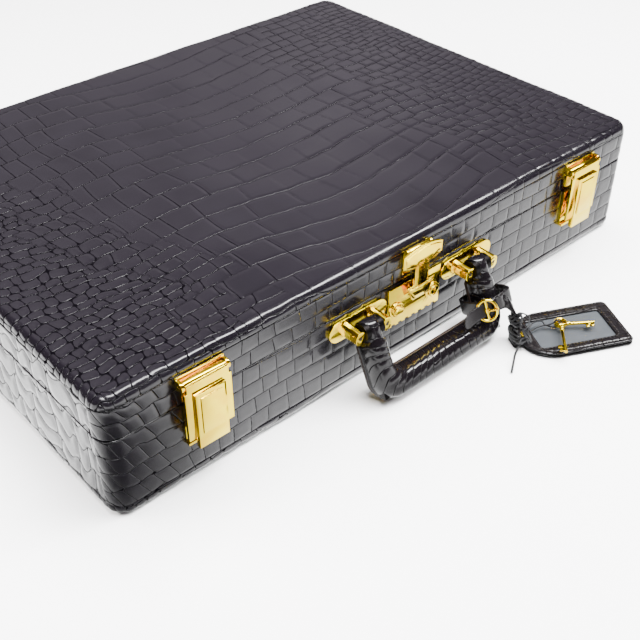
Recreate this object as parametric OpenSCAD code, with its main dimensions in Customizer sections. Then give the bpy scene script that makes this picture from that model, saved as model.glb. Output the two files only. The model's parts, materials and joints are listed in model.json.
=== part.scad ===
// Poker chip case: a rigid attache box covered in grained leather, with gilt
// latches, a central hasp and lock, a padded handle with a luggage tag and keys,
// and chip racks inside. The origin is the centre of the bottom face, +Z is up
// and the front, which carries the handle, faces -Y.

/* [Case] */
// Width of the case across its front
case_w = 450; // [446:1:460]
// Depth of the case from front to back
case_d = 330; // [326:1:340]
// Height of the closed case
case_h = 87; // [86:0.5:92]
// Height of the parting line between base and lid
seam_z = 58.6; // [58:0.2:59.6]
// Radius of the upright corners
corner_r = 11; // [10:0.5:13]
// Radius of the turned edges at top and bottom
edge_r = 6.5; // [6:0.5:7.5]

/* [Walls] */
// Thickness of the leather
leather_t = 1.5; // [1.2:0.1:1.8]
// Thickness of the four wall boards
wall_t = 7; // [6:0.5:7]
// Thickness of the velvet lining
lining_t = 1.2; // [0.8:0.1:1.2]

/* [Latches] */
// Distance of each latch from the middle of the front
latch_x = 164; // [150:1:180]
// Width of a latch leaf
latch_w = 30.5; // [28:0.5:33]
// Width of the raised tongue on a latch leaf
tongue_w = 20; // [16:0.5:22]

/* [Handle] */
// Distance of each handle leg from the middle
leg_x = 48.5; // [47.5:0.5:54]
// Width of the padded leather, seen from the front
grip_w = 19; // [17:0.5:21]
// Length of the handle from its pivot to its outer edge
handle_reach = 51; // [48:0.5:52]
// Angle at which the handle hangs below the level at rest
handle_droop = 66; // [60:1:67]

/* [Lock] */
// Distance of the button and the key cylinder from the middle
lock_x = 16; // [15:0.5:17]
// Radius of the button and of the key cylinder
lock_r = 3.8; // [3:0.1:4]

/* [Luggage tag] */
// Width of the tag
tag_w = 44.5; // [40:0.5:48]
// Length of the tag from its far edge to the end of its neck
tag_l = 79; // [76:1:80]

/* [Racks] */
// Diameter of a chip
chip_d = 39; // [38:0.5:40]
// Thickness of a chip
chip_t = 3.2; // [3:0.1:3.3]
// Number of rows of chips in each rack
rack_rows = 6; // [4:1:6]
// Number of chips in a row
row_chips = 25; // [10:1:25]

/* [Hidden] */
$fn = 64;
gap = 0.05;         // between pieces that rest on each other
run = 0.05;         // radial running clearance of a pin
seam_gap = 0.6;     // opening between base and lid
rim_t = 1.2;        // leather turned in over the top of a wall

face_y = -case_d / 2;
back_y = case_d / 2;
half_w = case_w / 2;
base_top = seam_z - seam_gap / 2;
lid_bottom = seam_z + seam_gap / 2;
lap_low = edge_r + 2;
lap_high = case_h - edge_r - 1;
inner_x = half_w - leather_t - wall_t;
inner_y = case_d / 2 - leather_t - wall_t;
room_x = inner_x - lining_t;
room_y = inner_y - lining_t;
floor_z = edge_r + lining_t + gap;
ceiling_z = case_h - edge_r - lining_t - gap;

// alignment lip inside the parting line
lip_t = 2.2;
lip_low = 46;
lip_high = seam_z + 5.4;

// latch: pin height, pin distance from the face, and depths from the face
latch_pin_z = 75.3;
latch_pin_y = 4.2;
latch_pin_r = 1.2;
leaf_in = 6;
leaf_out = 8;
tongue_out = 10;
leaf_low = 38;
tongue_low = 31;

// hasp
hasp_pin_z = 81;
hasp_pin_y = 3;
hasp_pin_r = 0.9;
hasp_in = 5.4;
hasp_out = 7.2;
hasp_top = 84.5;
hasp_low = 46;

// handle mounts and pivot
pivot_y = 11.5;
pivot_z = 48.5;
pivot_r = 2.5;
post_gap = 15;
post_w = 7;
post_h = 9.5;
post_out = 15.5;
mount_h = 14.5;
mount_t = 2;
leg_start = 7;
leg_half = grip_w / 2;
grip_inner = handle_reach - 20;

// lock
lock_z = 40.5;
lock_plate_t = 2;
lock_plate_half = 23.2;
lock_plate_low = 28;
lock_plate_high = 57.4;
mortise_half = 21.5;
mortise_low = 33;
mortise_high = 48;

// rear hinges
hinge_x = 130;
hinge_w = 60;
hinge_out = 3;
hinge_pin_r = 1.5;
knuckle_r = 2.7;
hinge_axis_z = seam_z + 0.1;
rear_stud_h = 6.5;

// lid stays
stay_arm_l = 110;
stay_anchor_y = back_y + hinge_out - 80;
stay_anchor_z = hinge_axis_z + 12;
stay_track_z = hinge_axis_z - 18;
stay_drop = stay_anchor_z - stay_track_z;
stay_slider_y = stay_anchor_y - sqrt(stay_arm_l * stay_arm_l - stay_drop * stay_drop);
stay_x = 206.5;
stay_pin_r = 2;

// studs that fasten the fittings through leather and board, as [x, z]
stud_r = 1.5;
mount_studs = [for (s = [-1, 1], e = [-1, 1]) [s * leg_x + e * (post_gap + post_w) / 2, pivot_z]];
catch_studs = [for (s = [-1, 1], e = [-1, 1]) [s * latch_x + e * 8, 53]];
base_studs = concat(mount_studs, catch_studs);
bracket_studs = [for (s = [-1, 1], e = [-1, 1]) [s * latch_x + e * 8, 66.5]];
hasp_studs = [for (e = [-1, 1]) [e * 6, 74]];
lid_studs = concat(bracket_studs, hasp_studs);
hinge_studs = [for (s = [-1, 1], e = [-1, 1]) [s * hinge_x + e * 20, 11]];

// racks
chip_pitch = chip_t + 0.2;
rack_floor = floor_z + gap;
rack_top = 36;
rack_in = 102;
rack_out = 200;
rack_half_y = 151;
row_pitch = 49;
channel_r = chip_d / 2 + 0.8;
chip_z = rack_top - 1;

// luggage tag, lying flat
tag_dir = -26.6;
tag_far = [123, -78.5];     // middle of its far edge, from the middle of the front face
tag_z = 0.6;
tag_back_t = 1.4;
tag_card_t = 0.5;
tag_film_t = 0.3;
tag_front_t = 1.2;
tag_card_z = tag_z + tag_back_t + gap;
tag_film_z = tag_card_z + tag_card_t + gap;
tag_front_z = tag_film_z + tag_film_t + gap;
tag_top = tag_front_z + tag_front_t;
strap_top = tag_top + 1.8;
loop_s = 24.5;              // middle of the strap loop, along the leg
loop_half_x = 14;
loop_half_t = 11;
loop_r = 15.5;              // its corners turn about the leg
strap_w = 10;
strap_t = 1.8;
buckle_turn = 45;           // round the leg, from the front towards the middle
buckle_t = loop_r + strap_t + 1.8;

// keys, which share one cord ring
key_at = [86, -57];
key_t = 1.2;
key_bow_r = 4.5;
key_a_z = tag_top + 2.1;
key_b_z = key_a_z + key_t + 0.3;
cord_r = 0.7;
cord_ring_r = 2.7;

// ---- helpers ----

// a box between two limits on each axis
module slab(x, y, z) {
    translate([x[0], y[0], z[0]]) cube([x[1] - x[0], y[1] - y[0], z[1] - z[0]]);
}

// a round bar along X
module bar_x(r, x, y, z) {
    translate([x[0], y, z]) rotate([0, 90, 0]) cylinder(r = r, h = x[1] - x[0]);
}

// a round bar along Y
module bar_y(r, x, y, z) {
    translate([x, y[1], z]) rotate([90, 0, 0]) cylinder(r = r, h = y[1] - y[0]);
}

// a round bar between any two points
module bar_between(r, a, b) {
    v = b - a;
    len = norm(v);
    translate(a)
        rotate([0, acos(v[2] / len), atan2(v[1], v[0])])
            cylinder(r = r, h = len);
}

// a flat strip between two points, its width level
module strip_between(a, b, w, t) {
    v = b - a;
    len = norm(v);
    translate(a)
        rotate([0, acos(v[2] / len), atan2(v[1], v[0])])
            translate([-t / 2, -w / 2, 0]) cube([t, w, len]);
}

// a 2D rectangle with round corners, centred
module rounded_rect(w, d, r) {
    square([w - 2 * r, d], center = true);
    square([w, d - 2 * r], center = true);
    for (sx = [-1, 1], sy = [-1, 1])
        translate([sx * (w / 2 - r), sy * (d / 2 - r)]) circle(r = r);
}

// a flat bar with round ends along X, as a 2D shape
module obround(w, h) {
    square([w - h, h], center = true);
    for (s = [-1, 1]) translate([s * (w - h) / 2, 0]) circle(d = h);
}

// the section of a box whose lower edges are rounded
module tub_section(w, h, re) {
    intersection() {
        union() {
            translate([-w / 2, re]) square([w, h]);
            translate([re - w / 2, 0]) square([w - 2 * re, h]);
            for (s = [-1, 1]) translate([s * (w / 2 - re), re]) circle(r = re);
        }
        translate([-w / 2, 0]) square([w, h]);
    }
}

// a solid box with round upright corners and a round lower edge
module tub(w, d, h, rc, re) {
    rotate([90, 0, 0])
        linear_extrude(height = d - 2 * rc, center = true) tub_section(w, h, re);
    rotate([90, 0, 90])
        linear_extrude(height = w - 2 * rc, center = true) tub_section(d, h, re);
    for (sx = [-1, 1], sy = [-1, 1])
        translate([sx * (w / 2 - rc), sy * (d / 2 - rc), 0])
            rotate_extrude() intersection() {
                tub_section(2 * rc, h, re);
                square([rc, h]);
            }
}

// the outer leather of a panel, with its round edge, up to height h
module panel_cover(h) {
    difference() {
        tub(case_w, case_d, h, corner_r, edge_r);
        translate([0, 0, leather_t])
            tub(case_w - 2 * leather_t, case_d - 2 * leather_t, h,
                corner_r - leather_t, edge_r - leather_t);
    }
}

// the board behind such a panel
module panel_board() {
    inset = leather_t + gap;
    translate([0, 0, inset])
        tub(case_w - 2 * inset, case_d - 2 * inset, edge_r - inset - gap,
            corner_r - inset, edge_r - inset);
}

// the leather band round the walls, turned in over their rim at rim_z
module side_cover(z0, z1, rim_z) {
    difference() {
        union() {
            translate([0, 0, z0]) linear_extrude(height = z1 - z0) difference() {
                rounded_rect(case_w, case_d, corner_r);
                rounded_rect(case_w - 2 * leather_t, case_d - 2 * leather_t, corner_r - leather_t);
            }
            translate([0, 0, rim_z]) linear_extrude(height = rim_t) difference() {
                rounded_rect(case_w - leather_t, case_d - leather_t, corner_r - leather_t / 2);
                rounded_rect(2 * inner_x, 2 * inner_y, 3);
            }
        }
        children();
    }
}

// the four wall boards
module wall_boards(z0, z1) {
    inset = leather_t + gap;
    difference() {
        translate([0, 0, z0]) linear_extrude(height = z1 - z0) intersection() {
            rounded_rect(case_w - 2 * inset, case_d - 2 * inset, corner_r - inset);
            for (s = [-1, 1]) {
                translate([0, s * (inner_y + wall_t / 2 + gap)])
                    square([case_w, wall_t], center = true);
                translate([s * (inner_x + wall_t / 2 + gap), 0])
                    square([wall_t, 2 * inner_y - 4 * gap], center = true);
            }
        }
        children();
    }
}

// velvet on the walls and the panel, open at the top
module lining(h) {
    wx = 2 * (inner_x - gap);
    wy = 2 * (inner_y - gap);
    difference() {
        linear_extrude(height = h) rounded_rect(wx, wy, 3);
        translate([0, 0, lining_t])
            linear_extrude(height = h)
                rounded_rect(2 * room_x, 2 * room_y, 2);
    }
}

// clearance holes for studs, through the front wall
module front_holes(studs, r) {
    for (p = studs) bar_y(r + gap, p[0], [face_y - 1, face_y + leather_t + wall_t + 1], p[1]);
}

// clearance holes for the hinge studs, at a height
module rear_holes(z) {
    for (p = hinge_studs) bar_y(stud_r + gap, p[0], [back_y - leather_t - wall_t - 1, back_y + 1], z);
}

// studs standing on the back of a front fitting
module front_studs(studs, r) {
    for (p = studs) bar_y(r, p[0], [face_y - 1, face_y + leather_t + wall_t - 0.3], p[1]);
}

// draws its children on the right and mirrored on the left
module both_sides() {
    children();
    mirror([1, 0, 0]) children();
}

// turns the frame of the lid over, so that z counts down from the top
module from_top() {
    translate([0, 0, case_h]) mirror([0, 0, 1]) children();
}

// the handle's own frame: -Y runs from the pivot to the grip, +Z faces outward
module at_handle() {
    translate([0, face_y - pivot_y, pivot_z]) rotate([handle_droop, 0, 0]) children();
}

// a point given in the handle's own frame, by its distance s along the leg
function handle_point(x, s, t) = [
    x,
    face_y - pivot_y - s * cos(handle_droop) - t * sin(handle_droop),
    pivot_z - s * sin(handle_droop) + t * cos(handle_droop)
];

// a point given in the tag's own frame
function tag_point(x, y, z) = [
    tag_far[0] + x * cos(tag_dir) - y * sin(tag_dir),
    face_y + tag_far[1] + x * sin(tag_dir) + y * cos(tag_dir),
    z
];

// the tag's own frame: X runs from its neck to its far edge, at x = 0
module at_tag() {
    translate([tag_far[0], face_y + tag_far[1], 0]) rotate([0, 0, tag_dir]) children();
}

// ---- base ----

module lock_mortise() {
    slab([-mortise_half, mortise_half], [face_y - 1, face_y + leather_t + wall_t + 1],
        [mortise_low, mortise_high]);
}

module base_frame() {
    color("burlywood") wall_boards(edge_r + gap, base_top - rim_t - gap) {
        front_holes(mount_studs, 2);
        front_holes(catch_studs, stud_r);
        rear_holes(seam_z - hinge_studs[0][1]);
        lock_mortise();
    }
}

module base_bottom_board() {
    color("burlywood") panel_board();
}

module base_bottom_cover() {
    color([0.05, 0.05, 0.06]) panel_cover(lap_low);
}

module base_side_cover() {
    color([0.05, 0.05, 0.06]) side_cover(lap_low + gap, base_top, base_top - rim_t) {
        front_holes(mount_studs, 2);
        front_holes(catch_studs, stud_r);
        rear_holes(seam_z - hinge_studs[0][1]);
        lock_mortise();
    }
}

module base_lining() {
    color([0.35, 0.04, 0.07])
        translate([0, 0, edge_r + gap]) lining(lip_low - edge_r - 2 * gap);
}

module base_lip() {
    color([0.1, 0.1, 0.1])
        difference() {
            union() {
                translate([0, 0, lip_low]) linear_extrude(height = base_top - lip_low)
                    rounded_rect(2 * (inner_x - gap), 2 * (inner_y - gap), 3);
                translate([0, 0, lip_low]) linear_extrude(height = lip_high - lip_low)
                    rounded_rect(2 * (room_x - gap), 2 * (room_y - gap), 3);
            }
            translate([0, 0, lip_low - 1]) linear_extrude(height = lip_high)
                rounded_rect(2 * (room_x - lip_t), 2 * (room_y - lip_t), 2);
        }
}

// ---- racks, chips and accessories ----

function row_y(i) = (i - (rack_rows - 1) / 2) * row_pitch;

module rack(side) {
    mid = side * (rack_in + rack_out) / 2;
    len = row_chips * chip_pitch + 1;
    difference() {
        slab([min(side * rack_in, side * rack_out), max(side * rack_in, side * rack_out)],
            [-rack_half_y, rack_half_y], [rack_floor, rack_top]);
        for (i = [0:rack_rows - 1])
            bar_x(channel_r, [mid - len / 2, mid + len / 2], row_y(i), chip_z);
    }
}

module rack_left() {
    color([0.35, 0.04, 0.07]) rack(-1);
}

module rack_right() {
    color([0.35, 0.04, 0.07]) rack(1);
}

// one row of chips standing on edge
module chip_row(side, i) {
    start = side * (rack_in + rack_out) / 2 - row_chips * chip_pitch / 2;
    for (k = [0:row_chips - 1])
        bar_x(chip_d / 2,
            [start + k * chip_pitch + 0.1, start + k * chip_pitch + 0.1 + chip_t],
            row_y(i), chip_z - 0.75);
}

// the rows that hold one of four kinds of chip
module chip_rows(kind) {
    for (side = [-1, 1], i = [0:rack_rows - 1])
        if ((side < 0 ? (i < 4 ? 0 : 1) : (i < 2 ? 1 : (i < 4 ? 2 : 3))) == kind)
            chip_row(side, i);
}

module chips_white() {
    color("white") chip_rows(0);
}

module chips_red() {
    color("firebrick") chip_rows(1);
}

module chips_green() {
    color("darkgreen") chip_rows(2);
}

module chips_black() {
    color([0.08, 0.08, 0.09]) chip_rows(3);
}

deck_size = [89, 64, 18];
deck_y = 92;
dice_side = 16;
dice_y = 28;
button_r = 24;
button_y = -22;
pocket_z = 12;              // depth of the dice tray

module centre_tray() {
    half = rack_in - 1.5;
    color([0.35, 0.04, 0.07]) difference() {
        slab([-half, half], [-rack_half_y, rack_half_y], [rack_floor, rack_top]);
        for (s = [-1, 1])
            slab([-deck_size[0] / 2 - 1, deck_size[0] / 2 + 1],
                [s * deck_y - deck_size[1] / 2 - 1, s * deck_y + deck_size[1] / 2 + 1],
                [rack_top - deck_size[2], rack_top + 1]);
        slab([-2.5 * dice_side - 3, 2.5 * dice_side + 3],
            [dice_y - dice_side / 2 - 1, dice_y + dice_side / 2 + 1],
            [rack_top - pocket_z, rack_top + 1]);
        translate([0, button_y, rack_top - 4]) cylinder(r = button_r + 1, h = 5);
    }
}

module card_decks() {
    color("navy") for (s = [-1, 1])
        slab([-deck_size[0] / 2, deck_size[0] / 2],
            [s * deck_y - deck_size[1] / 2, s * deck_y + deck_size[1] / 2],
            [rack_top - deck_size[2] + gap, rack_top]);
}

module dealer_button() {
    color("ivory") translate([0, button_y, rack_top - 4 + gap]) rotate_extrude() {
        square([button_r - 2, 8]);
        translate([0, 2]) square([button_r, 4]);
    }
}

module dice() {
    color("ivory") for (i = [-2:2])
        slab([i * (dice_side + 1) - dice_side / 2, i * (dice_side + 1) + dice_side / 2],
            [dice_y - dice_side / 2, dice_y + dice_side / 2],
            [rack_top - pocket_z + gap, rack_top + 4]);
}

// ---- lid ----

module lid_frame() {
    color("burlywood")
        wall_boards(lid_bottom + rim_t + gap, case_h - edge_r - gap) {
            front_holes(lid_studs, stud_r);
            rear_holes(seam_z + hinge_studs[0][1]);
        }
}

module lid_top_board() {
    color("burlywood") from_top() panel_board();
}

module lid_top_cover() {
    color([0.05, 0.05, 0.06]) from_top() panel_cover(case_h - lap_high);
}

module lid_side_cover() {
    color([0.05, 0.05, 0.06]) side_cover(lid_bottom, lap_high - gap, lid_bottom) {
        front_holes(lid_studs, stud_r);
        rear_holes(seam_z + hinge_studs[0][1]);
    }
}

module lid_lining() {
    color([0.35, 0.04, 0.07])
        from_top() translate([0, 0, edge_r + gap]) lining(case_h - edge_r - lip_high - 0.8);
}

module lid_pad() {
    half = [202, 146];
    color([0.35, 0.04, 0.07])
        translate([0, 0, 63]) linear_extrude(height = ceiling_z - gap - 63)
            rounded_rect(2 * half[0], 2 * half[1], 12);
}

// ---- rear hinges ----

// one leaf: its plate on the wall, its knuckles on the axis and its studs
module hinge_leaf(x, dir, knuckles, stud_z) {
    axis_y = back_y + hinge_out;
    near = hinge_axis_z + dir * 1.2;
    far = hinge_axis_z + dir * 19;
    difference() {
        union() {
            slab([x - hinge_w / 2, x + hinge_w / 2], [back_y + gap, back_y + gap + 1.3],
                [min(near + dir * 2, far), max(near + dir * 2, far)]);
            for (k = knuckles) {
                bar_x(knuckle_r, [x + k[0], x + k[1]], axis_y, hinge_axis_z);
                slab([x + k[0], x + k[1]], [back_y + gap, back_y + 1.3],
                    [min(near, near + dir * 4), max(near, near + dir * 4)]);
            }
            for (p = hinge_studs) if (p[0] * x > 0)
                bar_y(stud_r, p[0], [back_y - leather_t - wall_t + 0.3, back_y + 1], stud_z);
        }
        bar_x(hinge_pin_r + run, [x - hinge_w, x + hinge_w], axis_y, hinge_axis_z);
    }
}

module hinge_base_leaves() {
    third = hinge_w / 6;
    ends = [[-3 * third, -third - 0.3], [third + 0.3, 3 * third]];
    color("gold") for (s = [-1, 1])
        hinge_leaf(s * hinge_x, -1, ends, seam_z - hinge_studs[0][1]);
}

module hinge_lid_leaves() {
    third = hinge_w / 6;
    color("gold") for (s = [-1, 1])
        hinge_leaf(s * hinge_x, 1, [[-third, third]], seam_z + hinge_studs[0][1]);
}

module hinge_pins() {
    color("goldenrod") for (s = [-1, 1])
        bar_x(hinge_pin_r, [s * hinge_x - hinge_w / 2, s * hinge_x + hinge_w / 2],
            back_y + hinge_out, hinge_axis_z);
}

// studs on which the case stands when it is carried
module rear_studs() {
    color("gold") for (sx = [-1, 1], z = [16, 38])
        translate([sx * 195, back_y + gap, z]) rotate([-90, 0, 0]) rotate_extrude() {
            square([7, 1.4]);
            square([5.5, rear_stud_h - 1]);
            square([4.5, rear_stud_h]);
        }
}

// ---- lid stays ----

module stay_tracks() {
    wall = 1.2;
    half_h = 5;
    color("silver") both_sides() {
        y = [stay_slider_y - 10, back_y - 21];
        slab([room_x - gap - 1, room_x - gap], y, [stay_track_z - half_h, stay_track_z + half_h]);
        for (e = [-1, 1])
            slab([room_x - 5.4, room_x - gap], y,
                [stay_track_z + e * (half_h - wall / 2) - wall / 2,
                 stay_track_z + e * (half_h - wall / 2) + wall / 2]);
    }
}

module stay_sliders() {
    color("dimgray") both_sides() {
        slab([room_x - 5.2, room_x - 1.3], [stay_slider_y - 7, stay_slider_y + 7],
            [stay_track_z - 3.6, stay_track_z + 3.6]);
        bar_x(stay_pin_r, [stay_x + 1.4, room_x - 5], stay_slider_y, stay_track_z);
    }
}

// a flat bar from the lid's anchor to the slider
module stay_arms() {
    tilt = asin(stay_drop / stay_arm_l);
    color("silver") both_sides()
        translate([stay_x - 1, stay_anchor_y, stay_anchor_z])
            rotate([tilt, 0, 0]) rotate([90, 0, 90])
                linear_extrude(height = 2) difference() {
                    translate([-stay_arm_l / 2, 0]) obround(stay_arm_l + 9, 9);
                    circle(r = stay_pin_r + run);
                    translate([-stay_arm_l, 0]) circle(r = stay_pin_r + 0.3);
                }
}

module stay_anchors() {
    color("silver") both_sides() {
        slab([room_x - 1.2, room_x - gap], [stay_anchor_y - 12, stay_anchor_y + 12],
            [stay_anchor_z - 4.5, stay_anchor_z + 6]);
        bar_x(4, [stay_x + 1.2, room_x - 1], stay_anchor_y, stay_anchor_z);
        bar_x(stay_pin_r, [stay_x - 1.2, room_x - 1], stay_anchor_y, stay_anchor_z);
        bar_x(3.4, [stay_x - 2.2, stay_x - 1.2], stay_anchor_y, stay_anchor_z);
    }
}

// ---- latches ----

// the plate on the base, with its nose and its lower lip
module latch_catches() {
    color("gold") for (s = [-1, 1]) {
        x = s * latch_x;
        slab([x - 13, x + 13], [face_y - 1.5, face_y - gap], [30, 57.4]);
        slab([x - 13, x + 13], [face_y - 3.4, face_y - 1.4], [30, 31.6]);
        slab([x - 7, x + 7], [face_y - 4.2, face_y - 1.4], [43.5, 48.5]);
        bar_x(1.2, [x - 7, x + 7], face_y - 4.1, 47.3);
        bar_x(1.2, [x - 7, x + 7], face_y - 4.1, 44.7);
        front_studs([for (p = catch_studs) if (p[0] * s > 0) p], stud_r);
    }
}

// the plate on the lid, with the two cheeks that hold the latch pin
module latch_brackets() {
    half = latch_w / 2 + 0.5;
    color("gold") for (s = [-1, 1]) difference() {
        x = s * latch_x;
        union() {
            slab([x - 13, x + 13], [face_y - 1.4, face_y - gap], [62, 78]);
            slab([x - half, x + half], [face_y - 1.4, face_y - gap], [72, 79.4]);
            for (e = [-1, 1]) {
                cheek = [x + e * (half - 0.9) - 0.9, x + e * (half - 0.9) + 0.9];
                bar_x(3.1, cheek, face_y - latch_pin_y, latch_pin_z);
                slab(cheek, [face_y - latch_pin_y, face_y - gap],
                    [latch_pin_z - 3.1, latch_pin_z + 3.1]);
            }
            front_studs([for (p = bracket_studs) if (p[0] * s > 0) p], stud_r);
        }
        bar_x(latch_pin_r + run, [x - latch_w, x + latch_w], face_y - latch_pin_y, latch_pin_z);
    }
}

module latch_pins() {
    half = latch_w / 2 + 0.5;
    color("goldenrod") for (s = [-1, 1])
        bar_x(latch_pin_r, [s * latch_x - half, s * latch_x + half],
            face_y - latch_pin_y, latch_pin_z);
}

// the leaf: its barrel on the pin, its plate and its raised, stepped tongue
module latch_leaf(x) {
    barrel = latch_w / 2 - 1.6;
    neck_top = latch_pin_z + 2.2;
    difference() {
        union() {
            bar_x(2.6, [x - barrel, x + barrel], face_y - latch_pin_y, latch_pin_z);
            slab([x - barrel, x + barrel], [face_y - leaf_out, face_y - leaf_in], [70, neck_top - 1]);
            slab([x - barrel, x + barrel], [face_y - leaf_in - 0.2, face_y - latch_pin_y],
                [latch_pin_z - 1, latch_pin_z + 1]);
            slab([x - latch_w / 2, x + latch_w / 2],
                [face_y - leaf_out, face_y - leaf_in], [leaf_low, 71.4]);
            slab([x - tongue_w / 2, x + tongue_w / 2],
                [face_y - tongue_out, face_y - leaf_out + 0.2], [leaf_low + 1, 69.5]);
            slab([x - tongue_w / 2, x + tongue_w / 2],
                [face_y - tongue_out, face_y - leaf_in - 0.6], [tongue_low, leaf_low + 2]);
            slab([x - tongue_w / 2 + 3, x + tongue_w / 2 - 3],
                [face_y - tongue_out - 0.7, face_y - tongue_out + 0.2], [41, 66.5]);
        }
        bar_x(latch_pin_r + run, [x - latch_w, x + latch_w], face_y - latch_pin_y, latch_pin_z);
    }
}

module latch_leaf_left() {
    color("gold") latch_leaf(-latch_x);
}

module latch_leaf_right() {
    color("gold") latch_leaf(latch_x);
}

// ---- hasp and lock ----

module hasp_bracket() {
    color("gold") difference() {
        union() {
            slab([-11, 11], [face_y - 0.9, face_y - gap], [64, 80]);
            for (e = [-1, 1]) {
                cheek = [e * 10 - 1, e * 10 + 1];
                bar_x(2.1, cheek, face_y - hasp_pin_y, hasp_pin_z);
                slab(cheek, [face_y - hasp_pin_y, face_y - gap],
                    [hasp_pin_z - 2.1, hasp_pin_z + 0.5]);
            }
            front_studs(hasp_studs, stud_r);
        }
        bar_x(hasp_pin_r + run, [-20, 20], face_y - hasp_pin_y, hasp_pin_z);
    }
}

module hasp_pin() {
    color("goldenrod") bar_x(hasp_pin_r, [-11, 11], face_y - hasp_pin_y, hasp_pin_z);
}

// half width of the fan, and the radius and centre of its upper arc
fan_half = 17;
fan_rise = 3.5;
fan_r = (fan_half * fan_half + fan_rise * fan_rise) / (2 * fan_rise);
fan_ear_z = 73;

// the outline of the hasp: a fan over a neck over a keystone
module hasp_outline(inset) {
    intersection() {
        translate([0, hasp_top - fan_r]) circle(r = fan_r - inset, $fn = 128);
        polygon([
            [-fan_half + inset, hasp_top],
            [-fan_half + inset, fan_ear_z + inset * 0.4],
            [-fan_half + 5 + inset, fan_ear_z - 2 + inset],
            [-6, 70 + inset],
            [6, 70 + inset],
            [fan_half - 5 - inset, fan_ear_z - 2 + inset],
            [fan_half - inset, fan_ear_z + inset * 0.4],
            [fan_half - inset, hasp_top]
        ]);
    }
    translate([-6 + inset, 56]) square([12 - 2 * inset, 16]);
    polygon([
        [-12 + inset, 57 - inset],
        [-7 + inset, hasp_low + inset],
        [7 - inset, hasp_low + inset],
        [12 - inset, 57 - inset]
    ]);
}

// turns a 2D outline in X and Z into a plate between two distances from the face
module front_plate(near, far) {
    translate([0, face_y - near, 0]) rotate([90, 0, 0]) linear_extrude(height = far - near) children();
}

module hasp() {
    color("gold") difference() {
        union() {
            front_plate(hasp_in, hasp_out) hasp_outline(0);
            front_plate(hasp_out - 0.2, hasp_out + 0.8) hasp_outline(1.6);
            bar_x(2.1, [-8.7, 8.7], face_y - hasp_pin_y, hasp_pin_z);
            slab([-8.7, 8.7], [face_y - hasp_in - 0.3, face_y - hasp_pin_y],
                [hasp_pin_z - 2, hasp_pin_z + 1.6]);
            slab([-4.5, 4.5], [face_y - hasp_in - 0.3, face_y - 3.4], [49, 54]);
        }
        bar_x(hasp_pin_r + run, [-20, 20], face_y - hasp_pin_y, hasp_pin_z);
    }
}

// the escutcheon, with a notched lower edge and two collars
module lock_plate() {
    notch = 3;
    color("gold") difference() {
        union() {
            slab([-lock_plate_half, lock_plate_half], [face_y - lock_plate_t, face_y - gap],
                [lock_plate_low, lock_plate_high]);
            for (s = [-1, 1])
                bar_y(5.4, s * lock_x, [face_y - 3.6, face_y - 1], lock_z);
        }
        for (s = [-1, 1])
            bar_y(lock_r + run, s * lock_x, [face_y - 10, face_y + 10], lock_z);
        for (i = [-6:2:6])
            slab([i * notch - notch / 2, i * notch + notch / 2],
                [face_y - 5, face_y + 5], [lock_plate_low - 1, lock_plate_low + 1.2]);
    }
}

module lock_body() {
    color("silver") difference() {
        slab([-mortise_half + 0.2, mortise_half - 0.2],
            [face_y + gap, face_y + leather_t + wall_t - 0.1],
            [mortise_low + 0.2, mortise_high - 0.2]);
        for (s = [-1, 1])
            bar_y(lock_r + run, s * lock_x, [face_y - 1, face_y + 7.6], lock_z);
    }
}

module lock_button() {
    color("gold") {
        bar_y(lock_r, -lock_x, [face_y - 5, face_y + 5], lock_z);
        bar_y(lock_r - 0.7, -lock_x, [face_y - 5.6, face_y], lock_z);
    }
}

module lock_cylinder() {
    color("goldenrod") difference() {
        bar_y(lock_r, lock_x, [face_y - 4.6, face_y + 7], lock_z);
        bar_y(1.2, lock_x, [face_y - 6, face_y + 3], lock_z + 0.9);
        slab([lock_x - 0.6, lock_x + 0.6], [face_y - 6, face_y + 3],
            [lock_z - 2.6, lock_z + 0.9]);
    }
}

// ---- handle ----

module handle_mounts() {
    color("gold") for (s = [-1, 1]) difference() {
        x = s * leg_x;
        union() {
            translate([x, 0, 0]) front_plate(gap, mount_t)
                translate([0, pivot_z]) obround(47.5, mount_h);
            for (e = [-1, 1])
                translate([x + e * (post_gap + post_w) / 2, 0, 0])
                    front_plate(mount_t - 0.2, post_out)
                        translate([0, pivot_z]) rotate(90) obround(post_h, post_w);
            front_studs([for (p = mount_studs) if (p[0] * s > 0) p], 2);
        }
        bar_x(pivot_r + run, [x - 30, x + 30], face_y - pivot_y, pivot_z);
        for (e = [-1, 1])
            bar_y(1.3, x + e * (post_gap + post_w) / 2,
                [face_y - post_out - 1, face_y - post_out + 1.2], pivot_z);
    }
}

module handle_pins() {
    half = post_gap / 2 + post_w;
    color("goldenrod") for (s = [-1, 1])
        bar_x(pivot_r, [s * leg_x - half, s * leg_x + half], face_y - pivot_y, pivot_z);
}

module handle_screws() {
    color([0.2, 0.18, 0.15]) for (s = [-1, 1], e = [-1, 1])
        bar_y(1.25, s * leg_x + e * (post_gap + post_w) / 2,
            [face_y - post_out, face_y - post_out + 1.1], pivot_z);
}

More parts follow.
